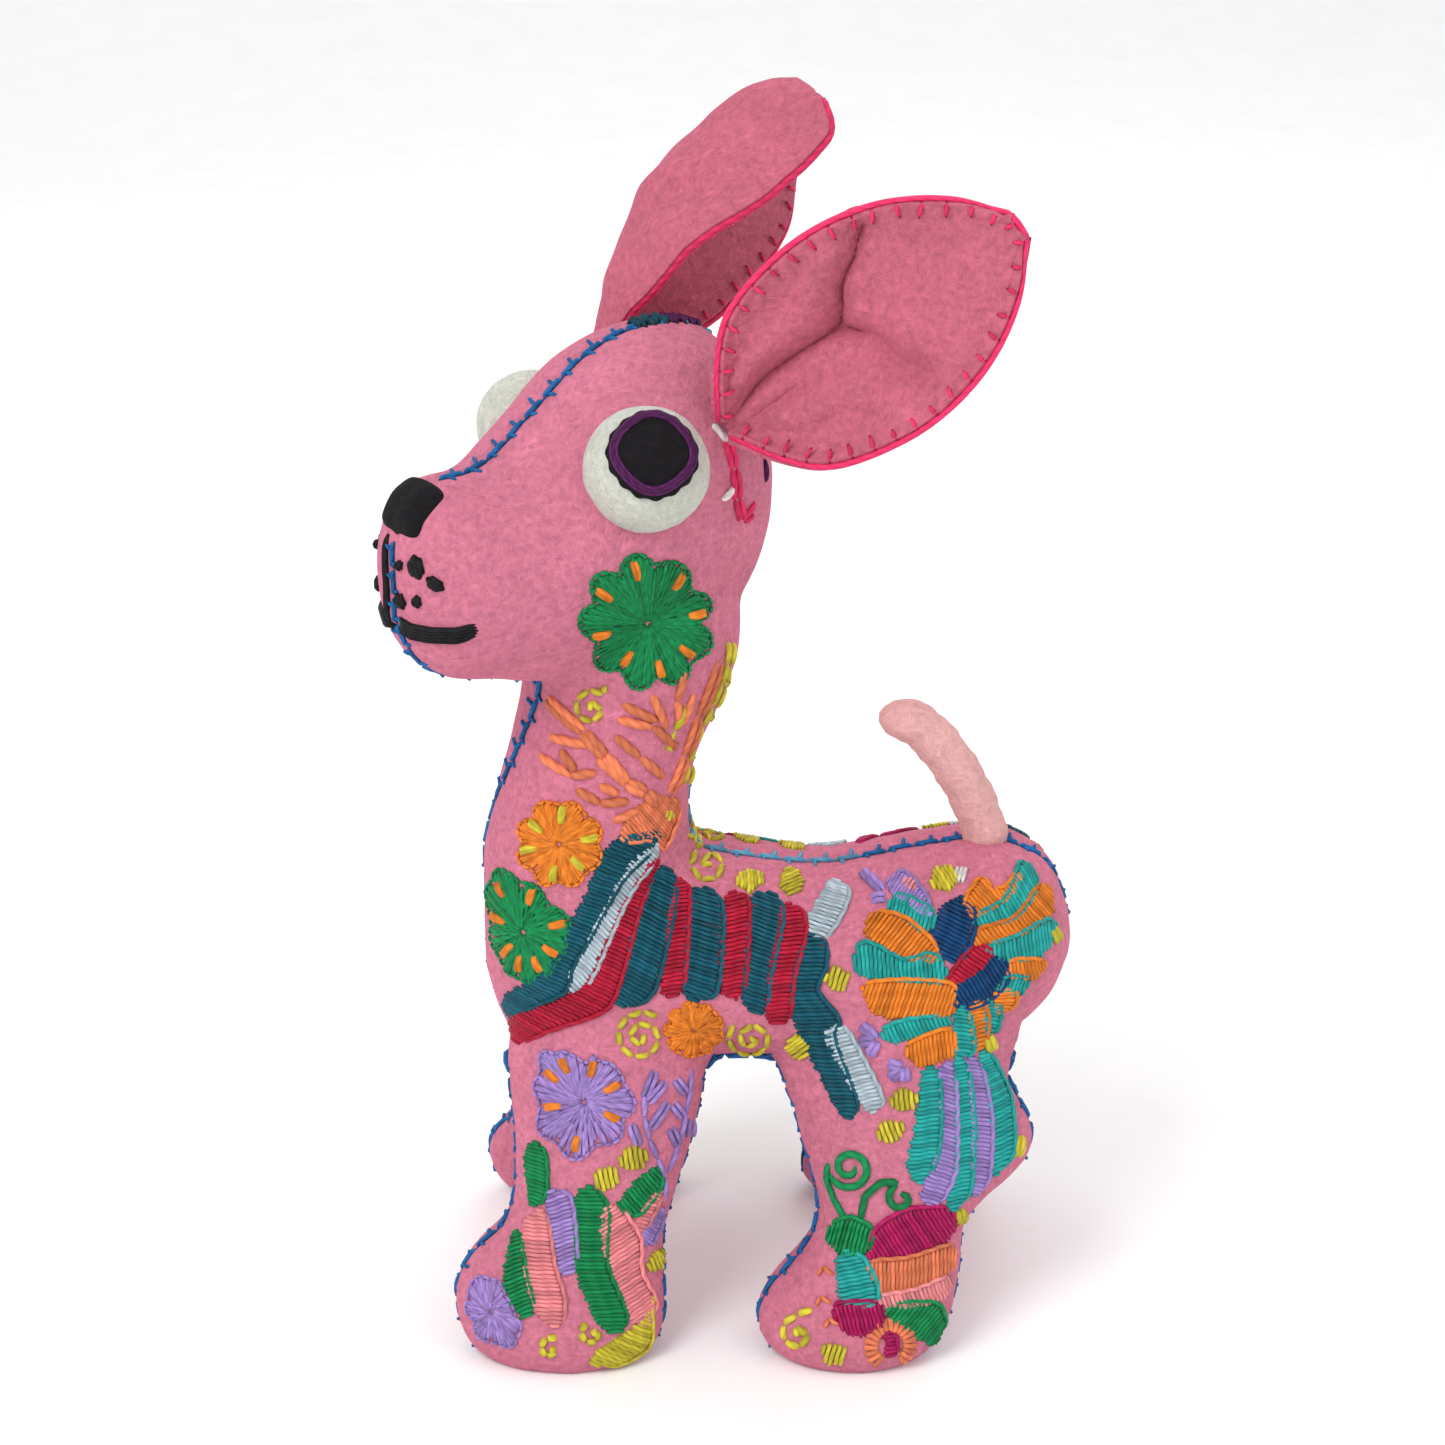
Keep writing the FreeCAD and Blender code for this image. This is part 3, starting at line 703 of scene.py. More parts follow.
BIRD = [
    ("navy", [(45.5, 95.5), (47.5, 94), (47.5, 90), (44, 84.5), (39.5, 90), (41.5, 93.5)]),
    ("crimson", [(42.5, 81.5), (46.5, 87), (49.5, 88.5), (51.5, 87), (47.5, 83)]),
    ("navy", [(44.5, 80.5), (49.5, 84), (51.5, 86.5), (55, 85), (53, 80), (48.5, 76.5), (44.5, 76.5)]),
    ("orange", [(46, 94.5), (50, 98), (52, 101.5), (55.5, 101), (57.5, 98), (55, 95), (48, 92.5)]),
    ("aqua", [(47.5, 91.5), (49, 93), (54.5, 94.5), (58, 99), (60.5, 96.5), (60, 94), (56, 91.5)]),
    ("orange", [(47.5, 88.5), (48, 90.5), (56, 91.5), (61.5, 95.5), (63.5, 93), (63.5, 90.5),
                (57, 89)]),
    ("aqua", [(49.5, 88), (55.5, 88.5), (61.5, 90), (64, 89), (63, 86), (60, 84), (53.5, 85.5)]),
    ("orange", [(54.5, 85), (59, 84), (62, 82.5), (59.5, 80), (54, 82.5)]),
    ("aqua", [(54, 82), (58.5, 80.5), (57, 77.5), (52, 80)]),
    ("orange", [(51.5, 79.5), (55.5, 79), (56, 76), (53, 73.5)]),
    ("aqua", [(50, 78), (53, 75.5), (52.5, 71), (50.5, 69.5)]),
    ("orange", [(47, 77), (49.5, 77.5), (50.5, 73.5), (50, 68), (48, 67.5)]),
    ("aqua", [(44.5, 76), (46.5, 76.5), (48, 67.5), (44.5, 66.5)]),
    ("aqua", [(31.5, 93.5), (34, 95), (41, 93), (39, 90)]),
    ("orange", [(27, 89.5), (29, 92.5), (35, 92), (40, 88.5), (41, 85.5), (33.5, 86)]),
    ("aqua", [(25.5, 87.5), (28, 88), (34.5, 85), (40, 87), (42.5, 84), (41.5, 81.5), (33, 82.5),
              (25.5, 82.5)]),
    ("orange", [(26, 81), (35, 82), (44, 81.5), (44.5, 76.5), (42.5, 74.5), (29.5, 74.5)]),
    ("aqua", [(30, 72), (35, 74), (43.5, 74.5), (43, 73), (32.5, 70)]),
    ("orange", [(34.5, 69.5), (44, 72.5), (44.5, 67.5), (37.5, 65.5)]),
    ("aqua", [(38.5, 65), (41, 65), (41.5, 56), (41, 48), (38, 43), (35.5, 46), (37.5, 55)]),
    ("violet", [(41.5, 65), (44, 66), (44.5, 54), (44.5, 45), (41, 38), (38, 41), (42, 49)]),
    ("aqua", [(44.5, 66.5), (46.5, 66), (48, 54), (47.5, 41), (44.5, 36.5), (43.5, 39), (45, 47)]),
    ("violet", [(47, 66), (49, 65.5), (51.5, 54), (51, 42.5), (48, 38), (48, 54)]),
    ("aqua", [(49.5, 67), (51, 66.5), (55.5, 56), (56, 46.5), (51.5, 42.5), (52, 53)]),
]
LEG = [
    ("green", [(-38, 47), (-35.5, 49), (-34, 47), (-34, 39.5), (-37, 36.5), (-37.5, 42)]),
    ("green", [(-39.5, 33), (-38, 25.5), (-36, 19.5), (-38.5, 18), (-42.5, 23.5)]),
    ("leg_pink", [(-38, 34), (-34, 37.5), (-32.5, 27), (-30.5, 22), (-31, 16.5), (-36, 19),
                  (-38.5, 27)]),
    ("violet", [(-34, 40.5), (-29, 41), (-28, 26.5), (-31, 26), (-32.5, 33)]),
    ("green", [(-28.5, 40.5), (-25, 42.5), (-22, 38.5), (-23, 28), (-18.5, 17), (-19.5, 14), (-24, 17),
               (-28.5, 28)]),
    ("leg_pink", [(-23, 37.5), (-20.5, 39), (-16, 31.5), (-16.5, 25), (-13, 17.5), (-14.5, 14),
                  (-18, 17), (-23.5, 31)]),
    ("green", [(-20.5, 38), (-16.5, 42.5), (-12.5, 45), (-12, 41), (-16.5, 36)]),
    ("leg_pink", [(-17, 33.5), (-14, 39), (-11.5, 40), (-15.5, 32.5)]),
    ("violet", [(-16, 31.5), (-12.5, 35.5), (-11.5, 35), (-14, 29)]),
    ("yellow", [(-26, 9), (-21.5, 13), (-16, 14.5), (-12, 18), (-11, 14.5), (-14, 9), (-20, 7.5)]),
]
BUTTERFLY = [
    ("green", [(21, 32.5), (24.5, 35.5), (29, 34), (28.5, 30.5), (25, 28), (20.5, 29.5)]),
    ("magenta", [(27.5, 29), (30, 34.5), (35.5, 38), (42.5, 38), (45, 35), (44, 30.5), (35.5, 29.5)]),
    ("salmon", [(27.5, 28), (35.5, 28.5), (44.5, 29.5), (45, 24.5), (37, 23), (31, 22.5)]),
    ("pink", [(30, 22), (37, 22.5), (44, 23.5), (43.8, 19.5), (37, 19.5), (31, 20.5)]),
    ("aqua", [(22, 27), (24, 29.5), (27, 28.5), (29.5, 24.5), (29.5, 20.5), (22.5, 21)]),
    ("magenta", [(21, 20.5), (31, 21), (31, 17.5), (27.5, 15), (23, 16)]),
    ("green", [(30.5, 20), (35.5, 20.5), (41.5, 19), (43, 14), (41, 9.5), (36, 15)]),
]
GREEN_FLOWER = [(-45, 96.5), (-37, 99), (-29, 92), (-30.5, 85), (-35.5, 80), (-41, 79.5), (-45, 85)]
VIOLET_FLOWER = [(-33, 68), (-26, 66), (-24, 67.5), (-19.5, 63.5), (-17, 57.5), (-20, 51.5),
                 (-27.5, 47.5), (-34.5, 50.5), (-36, 57.5), (-35.5, 64)]
TOE_FLOWER = [(-49.5, 20), (-46, 24), (-42, 23), (-40, 19), (-38.5, 16.5), (-40, 12.5), (-46, 12),
              (-49, 15)]
# small yellow pads
YELLOW_BLOBS = [(5, 96), (13.5, 95), (22, 82), (14.5, 67), (-22, 44), (-17, 47.5), (-12, 25),
                (42.5, 97.5), (34.5, 59), (32, 53), (21.5, 11)]
TWIGS = [
    [(-11.5, 37), (-11, 42), (-12.5, 46.5), (-14, 50.5), (-15, 55), (-15, 59)],
    [(-10.5, 43), (-8.5, 48.5), (-7, 54), (-6, 61.5)],
]
TWIG_LEAVES = [
    [(-15, 58.5), (-13, 63.5)], [(-14.5, 57.5), (-11, 61)], [(-14, 52.5), (-10.5, 57)],
    [(-16, 49.5), (-17.5, 54)],
    [(-7, 57.5), (-9, 61)], [(-7.5, 53), (-9.5, 56.5)], [(-8.5, 47.5), (-10, 52)],
    [(-6.5, 48), (-6, 52)],
]
# yellow stitches down the back of the neck and at the rump's edge
EDGE_BITS = [
    [(1.6, 143.5), (1.3, 139.0), (0.2, 134.5), (-1.6, 130.0), (-3.4, 126.0), (-5.0, 122.0),
     (-6.2, 118.0),
     (-7.0, 114.0)],
    [(63.0, 88.5), (65.0, 85.0)], [(50.5, 70.0), (52.0, 66.5)], [(57.5, 49.5), (57.0, 45.5)],
    [(45.5, 37.0), (46.5, 33.0)],
]
PETALS = [
    [(29.5, 70.5), (26.5, 73)], [(29.5, 70.5), (26, 70)], [(29.5, 70.5), (28, 67.5)],
    [(34.5, 65.5), (31.5, 66)], [(34.5, 65.5), (32, 63)], [(34.5, 65.5), (35, 62.5)],
    [(31, 95), (27, 96.5)], [(31.5, 94.5), (28.5, 94)],
]


def flank_stitches(cloth, flat, side, recolour):
    """Everything that is sewn on one flank, in threads by motif and colour."""
    sewn = {}

    def thread(motif, colour):
        return sewn.setdefault((motif, recolour.get(colour, colour)), Threads())

    def drawn(places, step=0.0):
        """Places given as x, z on the flank, in the drawing of it."""
        return [cloth.drawn(flat.place(x + step, z)[0]) for x, z in places]

    def spot(x, z, step=0.0):
        return drawn([(x, z)], step)[0]

    def sew(motif, patches, step):
        for number, (colour, outline) in enumerate(patches):
            satin(cloth, thread(motif, colour), drawn(outline, step), 14.0 if number % 2 else -12.0)

    hind = 8.0 if side > 0 else 0.0
    front = FRONT_STEP if side > 0 else 0.0
    sew("deer", DEER, 0.0)
    for number, path in enumerate(ANTLERS):
        path_stitches(cloth, thread("deer", "salmon"), drawn(path), width=1.9, double=number in (0, 9))
    blob(cloth, thread("deer", "yellow"), spot(-10.5, 110), 0.6)
    sew("bird", BIRD, 0.0)
    sew("butterfly", BUTTERFLY, hind)
    sew("leg_stripes", LEG, front)

    for motif, petal, knot, x, z, radius, lobes, knots in (
            ("chest_flower", "orange", "yellow", -31.0, 107.0, 8.3, 8, 6),
            ("belly_flower", "orange", "orange", -5.5, 71.5, 5.7, 9, 0)):
        centre = spot(x, z)
        flower(cloth, thread(motif, petal), thread(motif, knot), centre,
               round_outline(centre, radius), lobes, knots)
    for motif, petal, knot, x, z, outline, step, lobes, knots in (
            ("green_flower", "green", "orange", -38.0, 89.0, GREEN_FLOWER, 0.0, 9, 8),
            ("violet_flower", "violet", "orange", -26.5, 58.2, VIOLET_FLOWER, 0.0, 9, 7),
            ("toe_flower", "violet", "violet", -44.5, 18.3, TOE_FLOWER, front, 7, 0)):
        flower(cloth, thread(motif, petal), thread(motif, knot), spot(x, z, step),
               drawn(outline, step), lobes, knots)

    dots = thread("dots", "yellow")
    for x, z in YELLOW_BLOBS:
        blob(cloth, dots, spot(x, z, hind if z < 30 and x > 0 else 0.0))
    for x, z, radius, turns, start, tail in (
            (-2.5, 98.0, 4.2, 1.7, 1.7, (-7.0, 103.5)), (-15.5, 70.5, 5.3, 2.0, 0.9, None),
            (5.5, 69.0, 4.7, 2.0, 2.4, None), (-24.5, 133.5, 3.9, 1.6, 0.6, (-22.0, 138.5))):
        spiral(cloth, dots, spot(x, z), radius, turns, start, tail=tail and spot(*tail))
    spiral(cloth, dots, spot(14.5, 14, hind), 3.5, 1.5, 1.9, tail=spot(17.5, 19, hind), width=1.6)
    spiral(cloth, dots, spot(-33, 12.5, front), 2.6, 1.2, 1.0, width=1.5)
    spiral(cloth, dots, spot(-25, 15, front), 2.6, 1.2, 2.0, width=1.5)
    for path in EDGE_BITS:
        path_stitches(cloth, dots, drawn(path), width=1.8, double=True)

    for path in TWIGS:
        path_stitches(cloth, thread("twigs", "violet"), drawn(path, front * 0.5), width=1.2)
    for path in TWIG_LEAVES:
        path_stitches(cloth, thread("twigs", "violet"), drawn(path, front * 0.5), width=1.15,
                      double=True)
    for path in PETALS:
        path_stitches(cloth, thread("petals", "violet"), drawn(path), width=1.5, double=True)
    satin(cloth, thread("petals", "violet"),
          drawn([(31.5, 96), (35, 97.5), (39, 95), (39.5, 92.5), (35, 94)]), 10)
    blob(cloth, thread("petals", "pink"), spot(36, 96.3), 1.0)
    blob(cloth, thread("petals", "white"), spot(46, 98), 1.1)

    green = thread("butterfly", "green")
    centre = spot(24.5, 45, hind)
    spiral(cloth, green, centre, 4.3, 1.6, 3.3, width=1.6, whole=True)
    cloth.rope(green, drawn([(20.4, 45), (20.2, 41.5), (21.6, 38), (24, 34.5)], hind), 1.6, 1.2)
    spiral(cloth, green, spot(34.3, 40.2, hind), 2.7, 1.1, 1.8, width=1.6, whole=True)
    cloth.rope(green, drawn([(34.0, 43.2), (30.5, 43.0), (27.5, 40), (26.5, 35)], hind), 1.6, 1.2)
    middle = np.array(spot(32.3, 12.8, hind))
    for angle in np.linspace(-0.9, 4.05, 19):
        way = np.array([math.cos(angle), math.sin(angle) * 1.05])
        cloth.strand(thread("butterfly", "salmon"), [middle + way * 2.0, middle + way * 5.6], width=1.2)
    heart = [tuple(middle + np.array(p)) for p in ((-1.3, 2.6), (0.6, 2.6), (1.4, -1.8), (-0.3, -2.4))]
    satin(cloth, thread("butterfly", "magenta"), heart, 0, grow=0.3)
    for x, z in ((19.5, 25), (19, 20.5), (20.5, 17)):
        path_stitches(cloth, thread("butterfly", "salmon"),
                      drawn([(x + 2.0, z), (x, z + 0.8), (x - 0.9, z - 0.8)], hind), width=0.9)
    return sewn


# ---------------------------------------------------------------- seams
def contour(mesh, points, values, keep):
    """Lines on a mesh where a value passes through zero, as chains of points."""
    links = {}
    spots = {}
    for face in mesh.polygons:
        corners = list(face.vertices)
        found = []
        for a, b in zip(corners, corners[1:] + corners[:1]):
            if (values[a] < 0) != (values[b] < 0):
                key = (min(a, b), max(a, b))
                if key not in spots:
                    t = values[a] / (values[a] - values[b])
                    spots[key] = points[a] + (points[b] - points[a]) * t
                found.append(key)
        if len(found) == 2 and keep(spots[found[0]]) and keep(spots[found[1]]):
            links.setdefault(found[0], []).append(found[1])
            links.setdefault(found[1], []).append(found[0])
    chains = []
    unused = set(links)
    ends = [k for k in links if len(links[k]) == 1] + list(links)
    for start in ends:
        if start not in unused:
            continue
        chain = [start]
        unused.discard(start)
        while True:
            following = [k for k in links[chain[-1]] if k in unused]
            if not following:
                break
            chain.append(following[0])
            unused.discard(following[0])
        if len(chain) > 6:
            chains.append(np.array([spots[k] for k in chain]))
    return chains


def evenly(line, spacing):
    """Points at even distances along a line, after smoothing it."""
    for _ in range(4):
        line[1:-1] = 0.25 * line[:-2] + 0.5 * line[1:-1] + 0.25 * line[2:]
    stops = distances(line)
    count = max(2, round(stops[-1] / spacing))
    return np.array([between(stops, line, s) for s in np.linspace(0, stops[-1], count + 1)])


def on_surface(tree, p):
    hit = tree.find_nearest(Vector(p))
    return np.array(hit[0]), np.array(hit[1])


def lay(tree, threads, a, b, width, height, lift, steps=4):
    """A stitch between two points near a surface."""
    placed = [on_surface(tree, a + (b - a) * k / steps) for k in range(steps + 1)]
    threads.lay(placed, width, height, lift)


def blanket(tree, line, pick, spacing=5.2, reach=3.4):
    """Blanket stitch along a seam: the thread on the seam, with a tooth into each side in turn."""
    spots = evenly(line.copy(), spacing)
    for k in range(len(spots) - 1):
        a, b = spots[k], spots[k + 1]
        threads = pick(a)
        outward = on_surface(tree, a)[1]
        lay(tree, threads, a, b + (b - a) * 0.1, 1.15, 1.15, 0.4, 6)
        along = unit(b - a)
        across = unit(np.cross(along, outward))
        for side in (-1, 1):
            shift = 0.25 if side > 0 else 0.65
            root = a + (b - a) * shift
            tip = root + across * side * reach * rng.uniform(0.75, 1.1)
            tip = tip + along * rng.uniform(0.3, 1.2)
            lay(tree, threads, root, tip, 0.8, 0.8, 0.2)


# ---------------------------------------------------------------- ears
EAR_WIDTH = 47.0           # an ear's stations give its width as a share of this
EAR_STITCH = 4.4           # between neighbouring stitches round an ear
EAR_FOLD_LONG = 66.0       # folds are drawn on an ear this long, and twice this wide
EAR_FOLD_HALF = 20.0
# ears: share of the way up, width, curl, turn of the open side, bow of the fold line
NEAR_EAR = [
    (0.00, 0.16, 220.0, 0.0, 0.0), (0.10, 0.50, 130.0, 0.0, 1.0), (0.22, 0.78, 100.0, 0.0, 2.0),
    (0.40, 0.88, 75.0, 0.0, 2.5), (0.58, 0.86, 60.0, 0.0, 2.0), (0.76, 0.71, 50.0, 0.0, 1.0),
    (0.91, 0.44, 45.0, 0.0, 0.5), (1.01, 0.10, 40.0, 0.0, 0.0),
]
FAR_EAR = [
    (0.00, 0.14, 220.0, 0.0, 0.0), (0.14, 0.50, 153.0, -32.0, 3.2), (0.30, 0.94, 149.0, -31.0, 7.8),
    (0.48, 1.22, 138.0, -23.0, 10.8), (0.66, 1.28, 131.0, -12.0, 10.4), (0.83, 1.14, 109.0, 0.0, 7.8),
    (0.92, 0.92, 79.0, 9.0, 4.6), (0.97, 0.60, 50.0, 5.0, 0.8),
]
LEFT_EAR = (NEAR_EAR, head_point(-9.0, 22.4, 187.0), np.array([50.8, -29.0, 226.3]),
            np.array([-0.15, -0.97, 0.15]), 1.0)
RIGHT_EAR = (FAR_EAR, head_point(-9.0, -27.0, 187.0), np.array([16.0, 40.4, 242.0]),
             np.array([0.80, -0.06, -0.59]), 0.4)
EAR_LONG = 63              # steps along an ear, and across it
EAR_WIDE = 48


def ear_surface(shape, crease):
    """An ear's middle surface as a grid of points, and which way each faces."""
    stations, base, tip, open_way, bend = shape
    along = unit(tip - base)
    facing = unit(open_way - along * along.dot(open_way))
    across = np.cross(along, facing)
    length = float(np.linalg.norm(tip - base))
    rows = spline(stations, EAR_LONG // (len(stations) - 1) + 1)
    spread = np.linspace(-1, 1, EAR_WIDE + 1)
    middle = EAR_WIDE // 2
    grid = []
    for part, width, curl, turn, bow in rows:
        angle = math.radians(turn)
        face = facing * math.cos(angle) + across * math.sin(angle)
        wide = across * math.cos(angle) - facing * math.sin(angle)
        heading = math.radians(curl) / 2 * np.abs(spread) ** bend
        step = width * EAR_WIDTH / EAR_WIDE
        flat = summed((np.cos(heading[1:]) + np.cos(heading[:-1])) / 2 * step)
        away = np.sign(spread[1:] + spread[:-1])
        risen = summed(away * (np.sin(heading[1:]) + np.sin(heading[:-1])) / 2 * step)
        flat -= flat[middle]
        risen -= risen[middle]
        fold_line = base + along * (part * length) - facing * bow
        grid.append([fold_line + wide * f + face * (r + crease(part, v))
                     for f, r, v in zip(flat, risen, spread)])
    grid = np.array(grid)
    normal = np.cross(np.gradient(grid, axis=0), np.gradient(grid, axis=1))
    normal /= np.linalg.norm(normal, axis=2)[:, :, None] + 1e-9
    if (normal * facing).sum() < 0:
        normal = -normal
    return grid, normal


def fold(part, v, path, width, height):
    """A fold along a path over an ear, given as how far up the ear and how far across."""
    scale = np.array([EAR_FOLD_LONG, EAR_FOLD_HALF])
    spot = np.array([part, v]) * scale
    nearest = 1e9
    for a, b in zip(path[:-1], path[1:]):
        a, b = np.array(a) * scale, np.array(b) * scale
        t = min(1.0, max(0.0, float((spot - a) @ (b - a)) / float((b - a) @ (b - a))))
        nearest = min(nearest, float(np.linalg.norm(spot - a - (b - a) * t)))
    return height * math.exp(-(nearest / width) ** 2)


# folds: a path of (share up the ear, share across it), width and height
NEAR_FOLDS = [
    ([(0.04, -0.15), (0.12, -0.26), (0.37, -0.17), (0.47, -0.30), (0.50, -0.46), (0.58, -0.63),
      (0.66, -0.88)], 1.7, -3.3),
    ([(0.12, -0.48), (0.34, -0.42), (0.46, -0.56), (0.54, -0.74)], 2.4, 2.2),
    ([(0.26, 0.02), (0.36, -0.02)], 2.0, 1.0), ([(0.41, -0.12), (0.46, -0.06)], 2.2, -1.8),
    ([(0.49, -0.16), (0.56, -0.40)], 2.0, 1.5),
    ([(0.44, -0.08), (0.49, 0.06), (0.51, 0.36), (0.58, 0.66)], 2.4, -2.2),
    ([(0.14, 0.30), (0.30, 0.28), (0.42, 0.45), (0.47, 0.72)], 3.2, 2.0),
    ([(0.52, -0.10), (0.58, 0.12), (0.64, 0.36)], 3.0, 1.1),
    ([(0.10, 0.12), (0.22, 0.08), (0.34, 0.02)], 1.6, -1.2),
]


def near_crease(part, v):
    """The dish of the near ear: a deep fold up from its base, and softer ones that spread from it."""
    depth = sum(fold(part, v, *each) for each in NEAR_FOLDS)
    depth += 0.5 * math.cos(v * 11.0) * math.exp(-(part / 0.16) ** 2)
    depth += 0.35 * noise.noise(Vector((part * 14, v * 6, 3.7)))
    return depth + 0.7 * noise.noise(Vector((part * 5, v * 2.2, 1.7)))


FAR_FOLDS = [
    ([(0.56, -0.55), (0.48, -0.35), (0.40, -0.30)], 2.6, -1.6),
    ([(0.60, -0.40), (0.50, -0.15)], 3.0, 1.1),
    ([(0.24, -0.30), (0.34, -0.45)], 2.6, 0.9),
]


def far_crease(part, v):
    """The far ear is smoother, with a dent behind its front edge."""
    depth = sum(fold(part, v, *each) for each in FAR_FOLDS) * -1.0
    depth += 0.3 * noise.noise(Vector((part * 13, v * 6, 8.7)))
    return depth + 0.7 * noise.noise(Vector((part * 4, v * 2, 5.1)))


def slab(grid, normal, near, far):
    """A closed sheet between two distances from a grid."""
    rows, columns = grid.shape[:2]
    low = (grid + normal * near).reshape(-1, 3)
    high = (grid + normal * far).reshape(-1, 3)
    count = rows * columns
    faces = []
    for i in range(rows - 1):
        for j in range(columns - 1):
            a = i * columns + j
            faces.append((a, a + 1, a + columns + 1, a + columns))
            faces.append((count + a, count + a + columns, count + a + columns + 1, count + a + 1))
    rim = [j for j in range(columns)]
    rim += [i * columns + columns - 1 for i in range(1, rows)]
    rim += [(rows - 1) * columns + j for j in range(columns - 2, -1, -1)]
    rim += [i * columns for i in range(rows - 2, 0, -1)]
    for a, b in zip(rim, rim[1:] + rim[:1]):
        faces.append((b, a, count + a, count + b))
    return np.vstack([low, high]), faces


def bevelled(obj, width):
    """Softens an object's sharp edges."""
    step = obj.modifiers.new("edge", "BEVEL")
    step.width = width * MM
    step.segments = 2
    step.limit_method = "ANGLE"
    step.angle_limit = math.radians(50)
    return apply_modifiers(obj)


def make_ear(label, shape, crease, felt, pink):
    """Two layers of felt, blanket stitched together round the edge."""
    grid, normal = ear_surface(shape, crease)
    layers = []
    for part, near, far in (("back", -1.25, -0.05), ("front", 0.05, 1.25)):
        points, faces = slab(grid, normal, near, far)
        obj = bevelled(new_object(label + "_ear_felt_" + part, points, faces, felt), 0.45)
        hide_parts(label + "_ear_" + part + "_layer")
        layers.append(obj)
    threads = Threads(6)
    left_rim = [(i, 0) for i in range(len(grid))]
    tip_rim = [(len(grid) - 1, j) for j in range(1, EAR_WIDE)]
    right_rim = [(i, EAR_WIDE) for i in range(len(grid) - 1, -1, -1)]
    rim = left_rim + tip_rim + right_rim
    edge = np.array([grid[i, j] for i, j in rim])
    facing = np.array([normal[i, j] for i, j in rim])
    inward = np.array([unit(grid[min(i, len(grid) - 4), EAR_WIDE // 2] - grid[i, j])
                       for i, j in rim])
    stops = distances(edge)
    count = round(stops[-1] / EAR_STITCH)

    def rim_at(s):
        return [between(stops, values, s) for values in (edge, facing, inward)]

    along_rim = [rim_at(s) for s in np.linspace(0, stops[-1], 130)]
    threads.lay([(p, unit(-i)) for p, _, i in along_rim], 1.5, 1.2, 0.4, tuck=0.0, taper=0.8,
                end_shade=0.0)
    for k in range(count):
        s = stops[-1] * (k + 0.3) / count
        spot, face, inside = rim_at(s)
        along = unit(rim_at(min(stops[-1], s + stops[-1] / count * 0.5))[0] - spot)
        inside = unit(inside - along * inside.dot(along))
        lean = inside + along * rng.uniform(-0.25, 0.25)
        reach = rng.uniform(1.7, 2.7)
        side = unit(face)
        line = [spot - inside * 0.3 + side * 0.4, spot + lean * 0.3 + side * 1.3,
                spot + lean * reach * 0.6 + side * 1.35, spot + lean * reach + side * 1.3]
        threads.add(line, [side] * 4, 0.75, 0.7, 0.2, tuck=0.15)
    sewing = threads.build(label + "_ear_blanket_stitch", pink)
    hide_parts(label + "_ear_edge_thread")
    body = label + "_ear"
    for obj in layers + [sewing]:
        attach(obj, body)
    return layers + [sewing]


# ---------------------------------------------------------------- materials
DYE = 0.80                 # colours are given as they look in the studio's light


def srgb(r, g, b):
    """A colour given as 0 to 255, as the shader wants it."""
    out = []
    for c in (r, g, b):
        c = c / 255
        out.append(DYE * (c / 12.92 if c <= 0.04045 else ((c + 0.055) / 1.055) ** 2.4))
    return (*out, 1.0)


COLOURS = {
    "dark_teal": (14, 88, 106), "pale_blue": (186, 202, 212), "crimson": (184, 22, 56),
    "salmon": (238, 132, 92),
    "navy": (10, 66, 116), "orange": (236, 132, 40), "aqua": (36, 168, 162), "violet": (164, 134, 202),
    "green": (12, 138, 78), "leg_pink": (240, 142, 148), "yellow": (214, 200, 58),
    "magenta": (178, 20, 92),
    "pink": (232, 142, 146), "white": (226, 220, 218), "cobalt": (24, 104, 168),
    "light_blue": (96, 164, 200),
    "hot_pink": (238, 52, 108), "black": (20, 18, 23), "purple": (84, 24, 82),
    "teal_tuft": (14, 70, 84),
}


def grey(value):
    return (value, value, value, 1.0)


def feed(links, socket, value):
    """Sets a socket from another one, or to a value."""
    if isinstance(value, bpy.types.NodeSocket):
        links.new(value, socket)
    else:
        socket.default_value = value


def shader(name, roughness, sheen, tint):
    """A new material with its shader's even values set."""
    material = bpy.data.materials.new(name)
    material.use_nodes = True
    nodes = material.node_tree.nodes
    links = material.node_tree.links
    bsdf = nodes["Principled BSDF"]
    bsdf.inputs["Roughness"].default_value = roughness
    bsdf.inputs["Sheen Weight"].default_value = sheen
    bsdf.inputs["Sheen Roughness"].default_value = 0.45
    bsdf.inputs["Sheen Tint"].default_value = tint
    bsdf.inputs["Specular IOR Level"].default_value = 0.25
    return material, nodes, links, bsdf


def add_noise(nodes, links, vector, scale, detail, distortion=0.0, stretch=None):
    """A noise texture, stretched along one way if asked."""
    texture = nodes.new("ShaderNodeTexNoise")
    texture.inputs["Scale"].default_value = scale
    texture.inputs["Detail"].default_value = detail
    texture.inputs["Roughness"].default_value = 0.65
    texture.inputs["Distortion"].default_value = distortion
    if stretch:
        mapping = nodes.new("ShaderNodeMapping")
        mapping.inputs["Rotation"].default_value = stretch[0]
        mapping.inputs["Scale"].default_value = stretch[1]
        links.new(vector, mapping.inputs["Vector"])
        vector = mapping.outputs["Vector"]
    links.new(vector, texture.inputs["Vector"])
    return texture.outputs["Fac"]


def ramp(nodes, links, value, stops):
    """A colour ramp from a value."""
    node = nodes.new("ShaderNodeValToRGB")
    elements = node.color_ramp.elements
    while len(elements) < len(stops):
        elements.new(0.5)
    for element, (position, colour) in zip(elements, stops):
        element.position = position
        element.color = colour
    links.new(value, node.inputs["Fac"])
    return node.outputs["Color"]


